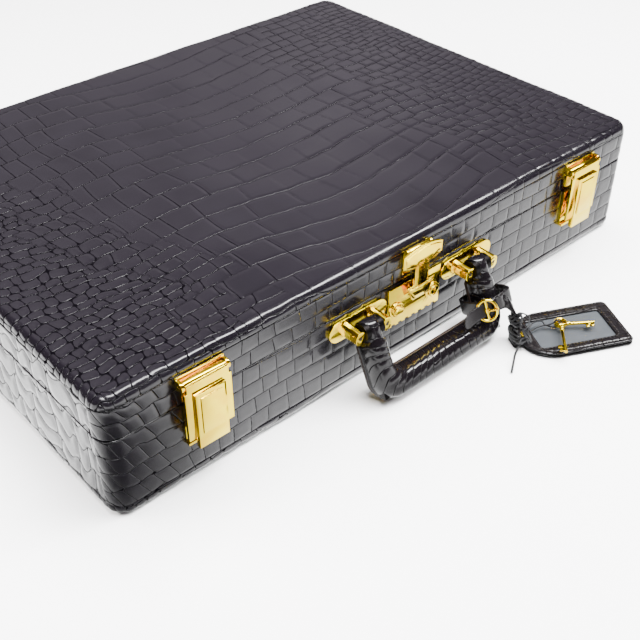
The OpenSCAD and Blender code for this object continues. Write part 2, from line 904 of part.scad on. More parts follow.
// the outline of the handle's leather, drawn with the pivot at y = 0, and inset
module handle_outline(inset) {
    outer_x = leg_x + leg_half - inset;
    outer_s = handle_reach - inset;
    inner_x = leg_x - leg_half + inset;
    inner_s = grip_inner + inset;
    outer_r = 17 - inset;
    inner_r = 8;
    difference() {
        union() {
            translate([-outer_x, -outer_s + outer_r])
                square([2 * outer_x, outer_s - outer_r - leg_start]);
            translate([-outer_x + outer_r, -outer_s])
                square([2 * (outer_x - outer_r), outer_r + 1]);
            for (s = [-1, 1])
                translate([s * (outer_x - outer_r), -outer_s + outer_r]) circle(r = outer_r);
        }
        translate([-inner_x, -inner_s + inner_r]) square([2 * inner_x, inner_s]);
        translate([-inner_x + inner_r, -inner_s]) square([2 * (inner_x - inner_r), inner_r + 1]);
        for (s = [-1, 1])
            translate([s * (inner_x - inner_r), -inner_s + inner_r]) circle(r = inner_r);
    }
}

// the steel bar in the handle; grow widens it for the space it needs in the leather
module handle_bar(grow) {
    half_t = 2.5 + grow;
    half_bar = 5 + grow;
    mid_s = (handle_reach + grip_inner) / 2;
    for (s = [-1, 1])
        slab([s * leg_x - half_bar, s * leg_x + half_bar], [-mid_s - half_bar, -2],
            [-half_t, half_t]);
    slab([-leg_x, leg_x], [-mid_s - half_bar, -mid_s + half_bar], [-half_t, half_t]);
}

module handle_core() {
    eye = post_gap / 2 - 0.2;
    color("silver") at_handle() difference() {
        union() {
            handle_bar(0);
            for (s = [-1, 1])
                bar_x(6, [s * leg_x - eye, s * leg_x + eye], 0, 0);
        }
        bar_x(pivot_r + run, [-80, 80], 0, 0);
    }
}

module handle_leather() {
    color([0.06, 0.06, 0.07]) at_handle() difference() {
        union() {
            translate([0, 0, -4.5]) linear_extrude(height = 9) handle_outline(0);
            translate([0, 0, -8]) linear_extrude(height = 16) handle_outline(2.5);
        }
        handle_bar(0.1);
    }
}

// ---- luggage tag ----

// the strap: a loop round the leg and a tail down to the tag
module tag_strap() {
    color([0.07, 0.06, 0.06]) difference() {
        tag_strap_solid();
        rivet_hole();
    }
}

// the outline of the loop, seen along the leg
module loop_outline(grow) {
    intersection() {
        square([2 * (loop_half_x + grow), 2 * (loop_half_t + grow)], center = true);
        circle(r = loop_r + grow);
    }
}

module tag_strap_solid() {
    union() {
        at_handle() translate([leg_x, -loop_s, 0]) rotate([90, 0, 0])
            linear_extrude(height = strap_w, center = true) difference() {
                loop_outline(strap_t);
                loop_outline(0);
            }
        tail_top = handle_point(leg_x + 2.5, loop_s + strap_w / 2 - 2.5, loop_half_t + 0.8);
        tail_end = tag_point(-tag_l - 0.3, 0, strap_top - 0.7);
        strip_between(tail_top, tail_end, 9, 1.3);
        at_tag() slab([-tag_l - 0.5, -tag_l + 9.5], [-5, 5], [tag_top + gap, strap_top]);
    }
}

// a closed round wire that follows an obround, lying flat
module wire_loop(w, h, r) {
    bend = h / 2;
    for (s = [-1, 1]) {
        translate([0, s * bend, 0]) rotate([0, 90, 0])
            cylinder(r = r, h = w - h, center = true);
        translate([s * (w - h) / 2, 0, 0])
            rotate([0, 0, -s * 90]) rotate_extrude(angle = 180) translate([bend, 0]) circle(r = r);
    }
}

// the middle of the buckle, on a corner of the loop
module at_buckle() {
    at_handle() translate([leg_x, -loop_s, 0]) rotate([0, -buckle_turn, 0])
        translate([0, 0, buckle_t]) children();
}

module tag_buckle() {
    color("gold") at_buckle() {
        rotate([0, 0, 90]) wire_loop(14, 12, 1);
        rotate([90, 0, 0]) cylinder(r = 0.9, h = 14, center = true);
    }
}

module tag_prong() {
    rise = 1.7;
    color("goldenrod") at_buckle() difference() {
        union() {
            rotate([90, 0, 0]) cylinder(r = 1.7, h = 2.4, center = true);
            bar_x(0.7, [0, 7], 0, rise);
            translate([7, 0, rise]) sphere(r = 0.7);
            slab([-0.7, 0.7], [-0.6, 0.6], [1.2, rise]);
        }
        rotate([90, 0, 0]) cylinder(r = 0.9 + run, h = 20, center = true);
    }
}

// the outline of the tag: square far corners, a round near end and a neck
module tag_outline() {
    r = 4;
    half = tag_w / 2;
    body = tag_l - 5 - half;
    translate([-body, -half]) square([body - r, tag_w]);
    translate([-body, -half + r]) square([body, tag_w - 2 * r]);
    for (s = [-1, 1]) translate([-r, s * (half - r)]) circle(r = r);
    translate([-body, 0]) circle(r = half);
    translate([-tag_l, -6]) square([20, 12]);
}

window_w = 28;
window_l = 54;
window_far = 9;
rivet_in = 6.3;             // from the end of the neck

module rivet_hole() {
    at_tag() translate([rivet_in - tag_l, 0, -1]) cylinder(r = 1.2 + gap, h = 9);
}

module tag_back() {
    color([0.07, 0.06, 0.06]) difference() {
        at_tag() translate([0, 0, tag_z]) linear_extrude(height = tag_back_t) tag_outline();
        rivet_hole();
    }
}

module tag_front() {
    color([0.07, 0.06, 0.06]) difference() {
        at_tag() translate([0, 0, tag_front_z]) linear_extrude(height = tag_front_t) tag_outline();
        at_tag() slab([-window_far - window_l, -window_far], [-window_w / 2, window_w / 2], [0, 20]);
        rivet_hole();
    }
}

module tag_film() {
    color([0.8, 0.85, 0.9, 0.5]) at_tag()
        slab([-window_far - window_l - 2, -window_far + 2],
            [-window_w / 2 - 2, window_w / 2 + 2], [tag_film_z, tag_film_z + tag_film_t]);
}

module tag_card() {
    color("gainsboro") at_tag()
        slab([-window_far - window_l - 1.5, -window_far + 1.5],
            [-window_w / 2 - 1.5, window_w / 2 + 1.5], [tag_card_z, tag_card_z + tag_card_t]);
}

module tag_rivet() {
    color("gold") at_tag() translate([rivet_in - tag_l, 0, 0]) {
        cylinder(r = 2.4, h = tag_z - gap);
        cylinder(r = 1.2, h = strap_top + 1);
        translate([0, 0, strap_top + gap]) cylinder(r = 2.4, h = 0.9);
    }
}

// ---- cord and keys ----

// the direction in which the cord leaves the keys, towards the neck of the tag
cord_out = 180 + tag_dir;
key_mid_z = (key_a_z + key_b_z + key_t) / 2;

module key_cord() {
    hold = (key_bow_r + 2) / 2;
    at = [key_at[0], face_y + key_at[1], key_mid_z];
    far = at + [cos(cord_out), sin(cord_out), 0] * (hold + cord_ring_r);
    knot = tag_point(10 - tag_l, 0, tag_top + 4);
    color([0.05, 0.05, 0.05]) {
        translate(at) rotate([0, 0, cord_out]) translate([hold, 0, 0]) rotate([90, 0, 0])
            rotate_extrude() translate([cord_ring_r, 0]) circle(r = cord_r);
        bar_between(cord_r, far, knot);
        translate(knot) sphere(r = 1.6);
    }
}

// one flat key: a round bow with a hole, and a blade with two teeth
module key(angle, z, len) {
    translate([key_at[0], face_y + key_at[1], z]) rotate([0, 0, angle])
        linear_extrude(height = key_t) difference() {
            union() {
                circle(r = key_bow_r);
                translate([0, -1.4]) square([len, 2.8]);
                translate([len - 5, -4]) square([1.6, 3]);
                translate([len - 2, -3.4]) square([1.6, 2.4]);
            }
            circle(r = 2);
        }
}

module key_a() {
    color("gold") key(-38, key_a_z, 23);
}

module key_b() {
    color("gold") key(-136, key_b_z, 31);
}

base_frame();
base_bottom_board();
base_bottom_cover();
base_side_cover();
base_lining();
base_lip();
rack_left();
rack_right();
centre_tray();
chips_white();
chips_red();
chips_green();
chips_black();
card_decks();
dealer_button();
dice();
lid_frame();
lid_top_board();
lid_top_cover();
lid_side_cover();
lid_lining();
lid_pad();
hinge_base_leaves();
hinge_lid_leaves();
hinge_pins();
rear_studs();
stay_tracks();
stay_sliders();
stay_arms();
stay_anchors();
latch_catches();
latch_brackets();
latch_pins();
latch_leaf_left();
latch_leaf_right();
hasp_bracket();
hasp_pin();
hasp();
lock_plate();
lock_body();
lock_button();
lock_cylinder();
handle_mounts();
handle_pins();
handle_screws();
handle_core();
handle_leather();
tag_strap();
tag_buckle();
tag_prong();
tag_back();
tag_front();
tag_film();
tag_card();
tag_rivet();
key_cord();
key_a();
key_b();
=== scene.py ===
"""Looks for the poker chip case: leather shells, handle, tag, keys, gilt fittings and studio."""

import json
import math

import bmesh
import bpy
import numpy as np
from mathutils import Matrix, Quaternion, Vector


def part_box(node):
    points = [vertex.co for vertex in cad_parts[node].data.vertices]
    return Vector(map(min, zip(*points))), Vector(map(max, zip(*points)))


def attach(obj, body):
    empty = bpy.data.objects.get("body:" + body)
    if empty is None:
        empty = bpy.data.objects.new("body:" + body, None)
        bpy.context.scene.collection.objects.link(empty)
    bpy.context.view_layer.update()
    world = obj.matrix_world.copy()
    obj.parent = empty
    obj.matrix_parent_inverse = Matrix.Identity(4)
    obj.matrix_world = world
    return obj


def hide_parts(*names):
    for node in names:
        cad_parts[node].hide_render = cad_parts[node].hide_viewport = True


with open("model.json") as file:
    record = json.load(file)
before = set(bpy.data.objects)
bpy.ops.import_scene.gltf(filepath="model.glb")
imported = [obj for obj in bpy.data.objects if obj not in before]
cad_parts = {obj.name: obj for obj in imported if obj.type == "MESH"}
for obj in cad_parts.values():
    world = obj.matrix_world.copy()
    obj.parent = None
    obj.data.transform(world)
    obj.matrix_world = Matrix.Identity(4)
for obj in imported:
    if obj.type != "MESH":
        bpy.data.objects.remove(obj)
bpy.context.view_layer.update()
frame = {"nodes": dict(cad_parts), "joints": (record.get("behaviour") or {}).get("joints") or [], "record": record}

MM = 0.001
FINE = 1.25          # spacing of the points in the leather, in millimetres
COARSE = 2.0         # the same underneath


# ---- places, in millimetres, read from the frame ----

def box_mm(node):
    """A node's lowest and highest corners, in millimetres."""
    return np.array(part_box(node)) / MM


JOINTS = {joint["name"]: joint for joint in frame["joints"]}

CASE_W, CASE_D, _ = np.ptp(box_mm("lid_top_cover"), axis=0)
FACE_Y = -CASE_D / 2
LAP_HIGH, CASE_H = box_mm("lid_top_cover")[:, 2]
LAP_LOW = box_mm("base_bottom_cover")[1, 2]
BASE_TOP = box_mm("base_side_cover")[1, 2]
LID_BOTTOM = box_mm("lid_side_cover")[0, 2]
CORNER_R = 11.0         # the case's upright corners
EDGE_R = 6.5            # its edges round the top and the bottom
LEATHER_T = 1.5
LAP_DEPTH = 0.45        # how far the leathers are sunk where they meet
RIM_IN = 8.4            # how far the leather turns in over the rim
RIM_T = 1.2
SIDE_SEAM = 12.6        # the front leather wraps this far round onto each side

PIVOT = np.array(JOINTS["handle_swing"]["pos_m"]) / MM
LEG_DIR = np.array(JOINTS["tag_swing"]["axis"])
LEG_X = JOINTS["tag_swing"]["pos_m"][0] / MM
OUT_DIR = np.array([0.0, LEG_DIR[2], -LEG_DIR[1]])
HANDLE_REACH = 51.0     # from the pivot to the grip's outer edge
GRIP_W = 20.0
LEG_W = 2 * (box_mm("handle_leather")[1, 0] - LEG_X)
EYE_W = 7.15            # half width of the leather between the posts
EYE_R = 7.1             # radius of the leather round the pivot
EYE_END = 10.0          # the leg has its full width from here on, measured from the pivot

KEY_AT = np.array(JOINTS["key_a_turn"]["pos_m"][:2]) / MM
TAG_TURN = math.radians(-26.6)
TAG_FAR = np.array([123.0, FACE_Y - 78.5])      # the middle of the tag's far edge
TAG_W = 44.5
TAG_L = 79.0
TAG_TOP = box_mm("tag_front")[1, 2]
WINDOW_W = 28.0
WINDOW_L = 54.0
WINDOW_MID = -36.0      # from the far edge, towards the neck

CHIP_Z = np.mean(box_mm("chips_red")[:, 2])
ROW_PITCH = 49.0        # between the racks' rows of chips
CHIP_SPOTS = 6


# ---- small helpers ----

def repeatable(i, j, seed):
    """A fixed value from 0 to 1 for each pair of whole numbers."""
    n = np.sin(i * 127.1 + j * 311.7 + seed * 74.7) * 43758.5453
    return n - np.floor(n)


def drift(u, v, seed, length):
    """A smooth value, mostly from -1 to 1, whose features are about this long."""
    rng = np.random.default_rng(seed)
    out = 0.0
    for _ in range(6):
        turn, phase = rng.uniform(0, 2 * math.pi, 2)
        k = 2 * math.pi / length * rng.uniform(0.6, 1.5)
        out = out + np.sin(k * (u * math.cos(turn) + v * math.sin(turn)) + phase)
    return out / 2.4


def smooth(x, low, high):
    """Rises softly from 0 at low to 1 at high."""
    t = np.clip((x - low) / (high - low), 0, 1)
    return t * t * (3 - 2 * t)


def unit(vectors):
    """The same directions, each of length 1."""
    return vectors / np.maximum(np.linalg.norm(vectors, axis=-1, keepdims=True), 1e-9)


def full_turn(count):
    """Evenly spaced angles, once round."""
    return np.arange(count) / count * 2 * math.pi


def distances(path):
    """How far along a path each of its points lies."""
    return np.concatenate([[0], np.cumsum(np.linalg.norm(np.diff(path, axis=0), axis=1))])


def grid_faces(rows, cols, wrap_rows=False, wrap_cols=False):
    """Quads over a grid of points numbered row by row."""
    i = np.arange(rows if wrap_rows else rows - 1)
    j = np.arange(cols if wrap_cols else cols - 1)
    i, j = np.meshgrid(i, j, indexing="ij")
    a = i * cols + j
    b = i * cols + (j + 1) % cols
    c = ((i + 1) % rows) * cols + (j + 1) % cols
    d = ((i + 1) % rows) * cols + j
    return np.stack([a, b, c, d], -1).reshape(-1, 4)


def tube_faces(rows, cols, closed=False):
    """Faces of a tube whose rows are rings of points. Its ends are capped unless it meets itself."""
    faces = grid_faces(rows, cols, closed, True).tolist()
    if not closed:
        faces += [list(range(cols)), list(range((rows - 1) * cols, rows * cols))]
    return faces


def border(rows, cols):
    """The numbers of a grid's outermost points, once round."""
    ids = np.arange(rows * cols).reshape(rows, cols)
    return np.concatenate([ids[:-1, 0], ids[-1, :-1], ids[:0:-1, -1], ids[0, :0:-1]])


def wall_faces(first, second):
    """Quads between two closed rings, given as point numbers."""
    return np.stack([first, np.roll(first, -1), np.roll(second, -1), second], -1).tolist()


def joined(parts):
    """Several shapes, each given as points and faces, as one."""
    points, faces, base = [], [], 0
    for part_points, part_faces in parts:
        points.append(part_points)
        faces += [[base + i for i in face] for face in part_faces]
        base += len(part_points)
    return np.concatenate(points), faces


def add_object(name, data):
    """A new object in the scene."""
    thing = bpy.data.objects.new(name, data)
    bpy.context.scene.collection.objects.link(thing)
    return thing


def new_piece(name, points, faces, material):
    """A closed mesh from points in millimetres, its faces turned outward."""
    mesh = bpy.data.meshes.new(name)
    points = np.reshape(points, (-1, 3)) * MM
    mesh.from_pydata(points.tolist(), [], [list(map(int, face)) for face in faces])
    bm = bmesh.new()
    bm.from_mesh(mesh)
    bmesh.ops.recalc_face_normals(bm, faces=bm.faces)
    bm.to_mesh(mesh)
    bm.free()
    mesh.shade_smooth()
    mesh.materials.append(material)
    return add_object(name, mesh)


def show(piece, body, node=None):
    """The piece moves with a body and stands for a CAD node if one is named."""
    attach(piece, body)
    if node:
        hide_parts(node)


# ---- materials ----

class Nodes:
    """A short way to build the node tree of a material or a world."""

    def __init__(self, name, kind="materials", shader="Principled BSDF"):
        self.owner = getattr(bpy.data, kind).new(name)
        self.owner.use_nodes = True
        self.tree = self.owner.node_tree
        self.shader = self.tree.nodes[shader]

    def add(self, kind, **values):
        """A new node. Names with a capital letter are its inputs, the others are its settings."""
        node = self.tree.nodes.new("ShaderNode" + kind)
        for name, value in values.items():
            if name[0].isupper():
                self.feed(node.inputs[name], value)
            else:
                setattr(node, name, value)
        return node

    def feed(self, socket, value):
        """Links another node's socket, or sets a value. A colour may have three numbers."""
        if isinstance(value, bpy.types.NodeSocket):
            self.tree.links.new(value, socket)
        elif socket.type == "RGBA" and len(value) == 3:
            socket.default_value = (*value, 1)
        else:
            socket.default_value = value

    def math(self, operation, *values):
        node = self.add("Math", operation=operation)
        for socket, value in zip(node.inputs, values):
            self.feed(socket, value)
        return node.outputs[0]

    def plus(self, a, b):
        return self.math("ADD", a, b)

    def minus(self, a, b):
        return self.math("SUBTRACT", a, b)

    def times(self, a, b):
        return self.math("MULTIPLY", a, b)

    def length(self, a, b):
        """The length of the vector whose two parts these are."""
        return self.math("SQRT", self.plus(self.times(a, a), self.times(b, b)))

    def ramp(self, value, low, high, out_low=0.0, out_high=1.0, shape="SMOOTHSTEP"):
        """Maps low to high onto out_low to out_high and holds it beyond them."""
        node = self.add("MapRange", interpolation_type=shape)
        for socket, item in zip(node.inputs, (value, low, high, out_low, out_high)):
            self.feed(socket, item)
        return node.outputs[0]

    def mix(self, factor, a, b):
        node = self.add("Mix", data_type="RGBA")
        for index, value in ((0, factor), (6, a), (7, b)):
            self.feed(node.inputs[index], value)
        return node.outputs[2]

    def noise(self, scale, detail=3.0, vector=None, rough=0.5):
        """Cloudy values from 0 to 1, with scale clouds to the metre."""
        vector = vector or self.place()
        return self.add("TexNoise", Scale=scale, Detail=detail, Roughness=rough, Vector=vector).outputs["Fac"]

    def place(self):
        """The point's own coordinates, in metres."""
        return self.add("TexCoord").outputs["Object"]

    def stretched(self, x, y, z):
        """The point's own coordinates, scaled along each axis."""
        return self.add("Mapping", Scale=(x, y, z), Vector=self.place()).outputs[0]

    def split(self, vector):
        return self.add("SeparateXYZ", Vector=vector).outputs

    def attribute(self, name):
        """The three values that the mesh holds under this name."""
        return self.split(self.add("Attribute", attribute_name=name).outputs["Vector"])

    def bump(self, height, distance, strength):
        """A normal from a height, where distance is in millimetres."""
        return self.add("Bump", Height=height, Distance=distance * MM, Strength=strength).outputs[0]

    def set(self, **values):
        """Feeds the shader's inputs, named with _ for a space, and returns the material."""
        for name, value in values.items():
            self.feed(self.shader.inputs[name.replace("_", " ")], value)
        return self.owner


def scaled(tint, factor):
    """A lighter or darker tint."""
    return tuple(c * factor for c in tint)


def hide_material(name, tint, rough, line_mm, gloss=0.5):
    """Embossed leather. The mesh says where each scale lies; this adds its crisp line, with painted shade
    darkening the colour in it.
    """
    n = Nodes(name)
    across, row, strength = n.attribute("hide")
    width, height, soft = n.attribute("hide_size")

    def from_line(count, size):
        """The distance to the nearest whole number of scales, in millimetres."""
        part = n.math("FRACT", count)
        return n.times(n.minus(0.5, n.math("ABSOLUTE", n.minus(part, 0.5))), size)

    weak = n.times(n.minus(1.0, strength), line_mm)
    cross = n.plus(from_line(across, width), weak)
    near = n.math("SMOOTH_MIN", from_line(row, height), cross, soft)
    ragged = n.plus(near, n.times(n.minus(n.noise(420), 0.5), 0.5))
    line = n.ramp(ragged, 0.0, line_mm, 1.0, 0.0)
    grain = n.plus(n.times(n.noise(900, 2), 0.05), n.times(n.noise(260, 4, rough=0.65), 0.10))
    wear = n.noise(38)
    # the line's colour, 0.45 of the tint, is painted shade in the grooves
    return n.set(Base_Color=n.mix(line, n.mix(wear, tint, scaled(tint, 1.5)), scaled(tint, 0.45)),
                 Roughness=n.plus(n.times(line, 0.25), n.ramp(wear, 0.3, 0.75, rough, rough + 0.10)),
                 Normal=n.bump(n.plus(n.times(line, -1.0), grain), 0.28, 0.8),
                 Specular_IOR_Level=n.times(n.minus(1.0, line), gloss))


def plain_leather(name, tint, rough):
    """Smooth leather with a fine grain."""
    n = Nodes(name)
    grain = n.noise(1400)
    pores = n.add("TexVoronoi", feature="DISTANCE_TO_EDGE", Scale=900, Vector=n.place())
    cell = n.ramp(pores.outputs["Distance"], 0.0, 0.25)
    return n.set(Base_Color=n.mix(n.noise(60), tint, scaled(tint, 1.7)), Specular_IOR_Level=0.12,
                 Roughness=n.ramp(grain, 0.3, 0.7, rough, rough + 0.12),
                 Normal=n.bump(n.plus(n.times(grain, 0.4), cell), 0.06, 0.7))


def gilt_material(name, tint, rough):
    """Polished gilt metal: faint waves, hairline scratches and duller patches."""
    n = Nodes(name)
    patches = n.noise(90)
    scratches = n.ramp(n.noise(1.0, 2, n.stretched(180, 2600, 260)), 0.55, 0.75)
    deep = tuple(c * f for c, f in zip(tint, (0.93, 0.82, 0.62)))
    return n.set(Base_Color=n.mix(n.ramp(patches, 0.35, 0.7), tint, deep), Metallic=1.0,
                 Roughness=n.ramp(patches, 0.3, 0.75, rough, rough + 0.07),
                 Normal=n.bump(n.plus(n.noise(140, 2), n.times(scratches, 0.03)), 0.10, 0.35))


def steel_material(name, tint, rough):
    """Brushed metal."""
    n = Nodes(name)
    lines = n.noise(1.0, 3, n.stretched(40, 40, 3000))
    return n.set(Base_Color=n.mix(lines, tint, scaled(tint, 0.75)), Metallic=1.0,
                 Roughness=n.ramp(lines, 0.3, 0.7, rough, rough + 0.12), Normal=n.bump(lines, 0.02, 0.4))


def velvet_material(name, tint):
    """Short pile with brushed patches and a sheen."""
    n = Nodes(name)
    pile = n.noise(2200, 2)
    light = scaled(tint, 1.7)
    tone = n.mix(n.ramp(n.noise(22, 4), 0.35, 0.7), tint, light)
    return n.set(Base_Color=n.mix(n.times(pile, 0.5), tone, scaled(tint, 0.4)), Roughness=0.95,
                 Sheen_Weight=0.35, Sheen_Roughness=0.35, Sheen_Tint=light,
                 Normal=n.bump(pile, 0.25, 0.8), Specular_IOR_Level=0.15)


def wood_material(name):
    """Plywood: long grain and thin layers."""
    n = Nodes(name)
    grain = n.noise(1.0, 5, n.stretched(12, 160, 900))
    return n.set(Base_Color=n.mix(grain, (0.50, 0.33, 0.18), (0.72, 0.55, 0.36)),
                 Roughness=0.6, Normal=n.bump(grain, 0.1, 0.4))


def plastic_material(name, tint, rough):
    """Moulded plastic with a faint cloud."""
    n = Nodes(name)
    cloudy = tuple(min(1, c * 1.2 + 0.005) for c in tint)
    return n.set(Base_Color=n.mix(n.noise(300), tint, cloudy),
                 Roughness=n.ramp(n.noise(700), 0.3, 0.7, rough, rough + 0.1),
                 Normal=n.bump(n.noise(1500), 0.02, 0.4))


def chip_material(name, tint, spot):
    """A chip's clay body with edge spots and a printed ring, laid out round each row's own axis."""
    n = Nodes(name)
    _, y, z = n.split(n.place())
    row = n.math("DIVIDE", n.minus(y, 0.5 * ROW_PITCH * MM), ROW_PITCH * MM)
    off_y = n.times(n.minus(row, n.math("ROUND", row)), ROW_PITCH * MM)
    off_z = n.minus(z, CHIP_Z * MM)
    turn = n.plus(n.math("ARCTAN2", off_y, off_z), math.pi)
    around = n.math("FRACT", n.times(turn, CHIP_SPOTS / (2 * math.pi)))
    from_spot = n.math("ABSOLUTE", n.minus(around, 0.5))
    radius = n.length(off_y, off_z)
    in_spot = n.times(n.ramp(from_spot, 0.15, 0.16, 1.0, 0.0), n.ramp(radius, 15.2 * MM, 15.4 * MM))
    ring = n.times(n.ramp(radius, 12.2 * MM, 12.4 * MM), n.ramp(radius, 13.0 * MM, 13.2 * MM, 1.0, 0.0))
    grain = n.noise(1200)
    return n.set(Base_Color=n.mix(n.math("MAXIMUM", in_spot, ring), tint, spot),
                 Roughness=n.ramp(grain, 0.3, 0.7, 0.38, 0.5),
                 Normal=n.bump(n.plus(grain, n.times(ring, 1.5)), 0.05, 0.5))


def card_material(name, tint, line_tint, scale):
    """Printed board with a generic lattice."""
    n = Nodes(name)
    x, y, _ = n.split(n.place())

    def stripes(along):
        """Thin lines at even distances."""
        return n.ramp(n.math("ABSOLUTE", n.math("SINE", n.times(along, scale))), 0.985, 0.995)

    lines = n.math("MAXIMUM", stripes(n.plus(x, y)), stripes(n.minus(x, y)))
    fibre = n.noise(1800)
    return n.set(Base_Color=n.mix(lines, tint, line_tint),
                 Roughness=n.ramp(fibre, 0.3, 0.7, 0.3, 0.45), Normal=n.bump(fibre, 0.03, 0.4))


def paper_material(name, tint):
    """Uncoated card with visible fibres."""
    n = Nodes(name)
    fibre = n.noise(1600, 5)
    return n.set(Base_Color=n.mix(fibre, tint, scaled(tint, 1.25)),
                 Roughness=0.75, Normal=n.bump(fibre, 0.05, 0.5))


def film_material(name):
    """Clear film with a soft gloss."""
    n = Nodes(name)
    haze = n.noise(160)
    return n.set(Base_Color=(0.10, 0.11, 0.12), Alpha=n.ramp(haze, 0.35, 0.75, 0.06, 0.14),
                 Roughness=0.08, Specular_IOR_Level=0.6, Normal=n.bump(haze, 0.3, 0.25))


def cord_material(name, tint):
    """Twisted waxed thread."""
    n = Nodes(name)
    twist = n.add("TexWave", wave_type="BANDS", bands_direction="DIAGONAL", Scale=500, Vector=n.place())
    band = twist.outputs["Fac"]
    return n.set(Base_Color=n.mix(band, tint, scaled(tint, 2.5)),
                 Roughness=0.55, Normal=n.bump(band, 0.15, 0.6))


HIDE = hide_material("case_hide", (0.0030, 0.0024, 0.0036), 0.15, 0.45)
GRIP_HIDE = hide_material("grip_hide", (0.0026, 0.0020, 0.0026), 0.12, 0.40, gloss=0.38)
TAG_LEATHER = hide_material("tag_hide", (0.0030, 0.0024, 0.0028), 0.22, 0.35, gloss=0.3)
EDGE_LEATHER = plain_leather("edge_leather", (0.014, 0.009, 0.007), 0.45)
SMOOTH_LEATHER = plain_leather("smooth_leather", (0.012, 0.011, 0.012), 0.35)
GILT = gilt_material("gilt", (1.0, 0.75, 0.02), 0.07)
PIN_GILT = gilt_material("pin_gilt", (0.92, 0.62, 0.01), 0.12)
STEEL = steel_material("steel", (0.62, 0.62, 0.64), 0.25)
DARK_METAL = steel_material("dark_metal", (0.10, 0.08, 0.06), 0.35)
BLACK_STEEL = steel_material("black_steel", (0.010, 0.009, 0.009), 0.35)
VELVET = velvet_material("velvet", (0.060, 0.003, 0.010))
WOOD = wood_material("plywood")
IVORY = plastic_material("ivory_plastic", (0.80, 0.75, 0.62), 0.18)
PIP = plastic_material("pip_paint", (0.02, 0.02, 0.02), 0.3)
SLIDER = plastic_material("slider_plastic", (0.05, 0.05, 0.055), 0.4)
CARD_BOX = card_material("card_box", (0.003, 0.008, 0.06), (0.16, 0.12, 0.05), 500)
CARD = paper_material("grey_card", (0.017, 0.019, 0.022))
FILM = film_material("clear_film")
CORD = cord_material("cord", (0.002, 0.002, 0.0025))
THREAD = cord_material("thread", (0.012, 0.010, 0.009))


# ---- the scale pattern of the leather ----

# length of the outline from the middle of the front to the seam on each side
SEAM_S = (CASE_W / 2 - CORNER_R) + CORNER_R * math.pi / 2 + (SIDE_SEAM - CORNER_R)
NO_LINE = {"hide": 0.5, "hide_size": 50.0}      # the middle of a scale too large to show a line


def tiles(along, rows, width, height, seed, cross, jitter=0.22, soft=0.6, depth=0.32, run=1.1, corner=0.8):
    """Scales laid in rows.

    along and rows count scales and rows from any start; width and height are one scale's size.
    cross is how deep the lines between a row's scales are, beside the lines between rows.
    soft rounds each scale's outline, depth and run are the height and the width of its rounded edge,
    and corner is how round the crisp line's corners are.
    Returns the height of the leather and the two vectors that the material reads.
    """
    row = np.floor(rows)
    part = rows - row
    count = along + 5 * repeatable(row, 7, seed)
    number = np.floor(count)

    def edge(k):
        """Where scale k starts in its row."""
        return k + jitter * (2 * repeatable(k, row, seed + 3) - 1)

    number = np.where(count < edge(number), number - 1, number)
    number = np.where(count >= edge(number + 1), number + 1, number)
    low, high = edge(number), edge(number + 1)
    inside = (count - low) / (high - low)
    from_row = np.minimum(part, 1 - part) * height
    from_cross = np.minimum(inside, 1 - inside) * (high - low) * width
    near = -soft * np.log(np.exp(-from_row / soft) + cross * np.exp(-from_cross / soft) + 1e-9)
    crown = 1 - np.exp(-(np.clip(near, 0, None) / run) ** 2)
    uneven = 0.16 * (repeatable(number, row, seed + 9) - 0.5) * crown
    hide = np.stack([number + inside, rows, cross + 0 * rows], -1)
    size = np.stack([(high - low) * width, height + 0 * rows, corner + 0 * rows], -1)
    return depth * (crown - 0.8) + uneven, hide, size


def write_scales(piece, hide, size, plain=None):
    """Gives the material each point's place in the pattern. Plain columns and added points get no lines."""
    for name, values in (("hide", hide), ("hide_size", size)):
        if plain is not None:
            values[:, plain] = NO_LINE[name]
        vectors = np.full((len(piece.data.vertices), 3), NO_LINE[name], dtype=np.float32)
        vectors[:values.size // 3] = values.reshape(-1, 3)
        layer = piece.data.attributes.new(name, "FLOAT_VECTOR", "POINT")
        layer.data.foreach_set("vector", vectors.ravel())


def spread(x, stops):
    """Counts scales along x, where stops lists (x, width of a scale) in order."""
    at = np.arange(stops[0][0], stops[-1][0] + 1.0)
    width = np.interp(at, *zip(*stops))
    total = np.concatenate([[0], np.cumsum(1 / width[:-1])])
    return np.interp(x, at, total), np.interp(x, at, width)


def belly_pattern(u, v, seed):
    """A large panel: long belly rows in the middle and small flank scales at both ends."""
    half = CASE_W / 2
    pitch = 21.0
    slope = 0.22 * v
    flank = smooth(-u - slope, half * 0.50, half * 0.70)
    u2 = u + 1.0 * drift(u, v, seed + 1, 26) * flank + 2.4 * drift(u, v, seed + 2, 120)
    bend = 10 * np.sin((u + 70) / 54) * smooth(-np.abs(u - 10), -170, -60)
    v2 = v + bend + 3.0 * drift(u, v, seed + 3, 170) + (0.5 + 0.5 * flank) * drift(u, v, seed + 4, 24)
    whole = np.floor(v2 / pitch)
    split_left = -half * (0.62 + 0.14 * (repeatable(whole, 1, seed) - 0.5)) - slope
    split_right = half * (0.45 + 0.30 * (repeatable(whole, 2, seed) - 0.5))
    fine = (u2 < split_left) | (u2 > split_right)
    finer = (u2 < split_left - half * 0.16) | (u2 > split_right + half * 0.30)
    share = 1 + fine.astype(int) + finer
    along, width = spread(u2, [(-half - 40, 8.5), (-half * 0.8, 9.5), (-half * 0.62, 13), (-half * 0.45, 20),
                               (-half * 0.3, 26), (half * 0.3, 28), (half * 0.5, 15), (half * 0.8, 11),
                               (half + 40, 9)])
    rows = share * v2 / pitch + 200 * share
    faint = smooth(-np.abs(u - 15), -half * 0.48, -half * 0.15)
    cross = 1 - faint * (0.55 + 0.45 * repeatable(whole, np.floor(along), seed + 5))
    return tiles(along, rows, width, pitch / share, seed, np.clip(cross, 0.03, 1), soft=0.6 + 0.7 * flank,
                 depth=0.28 + 0.12 * flank, corner=0.8 + 3.0 * flank)


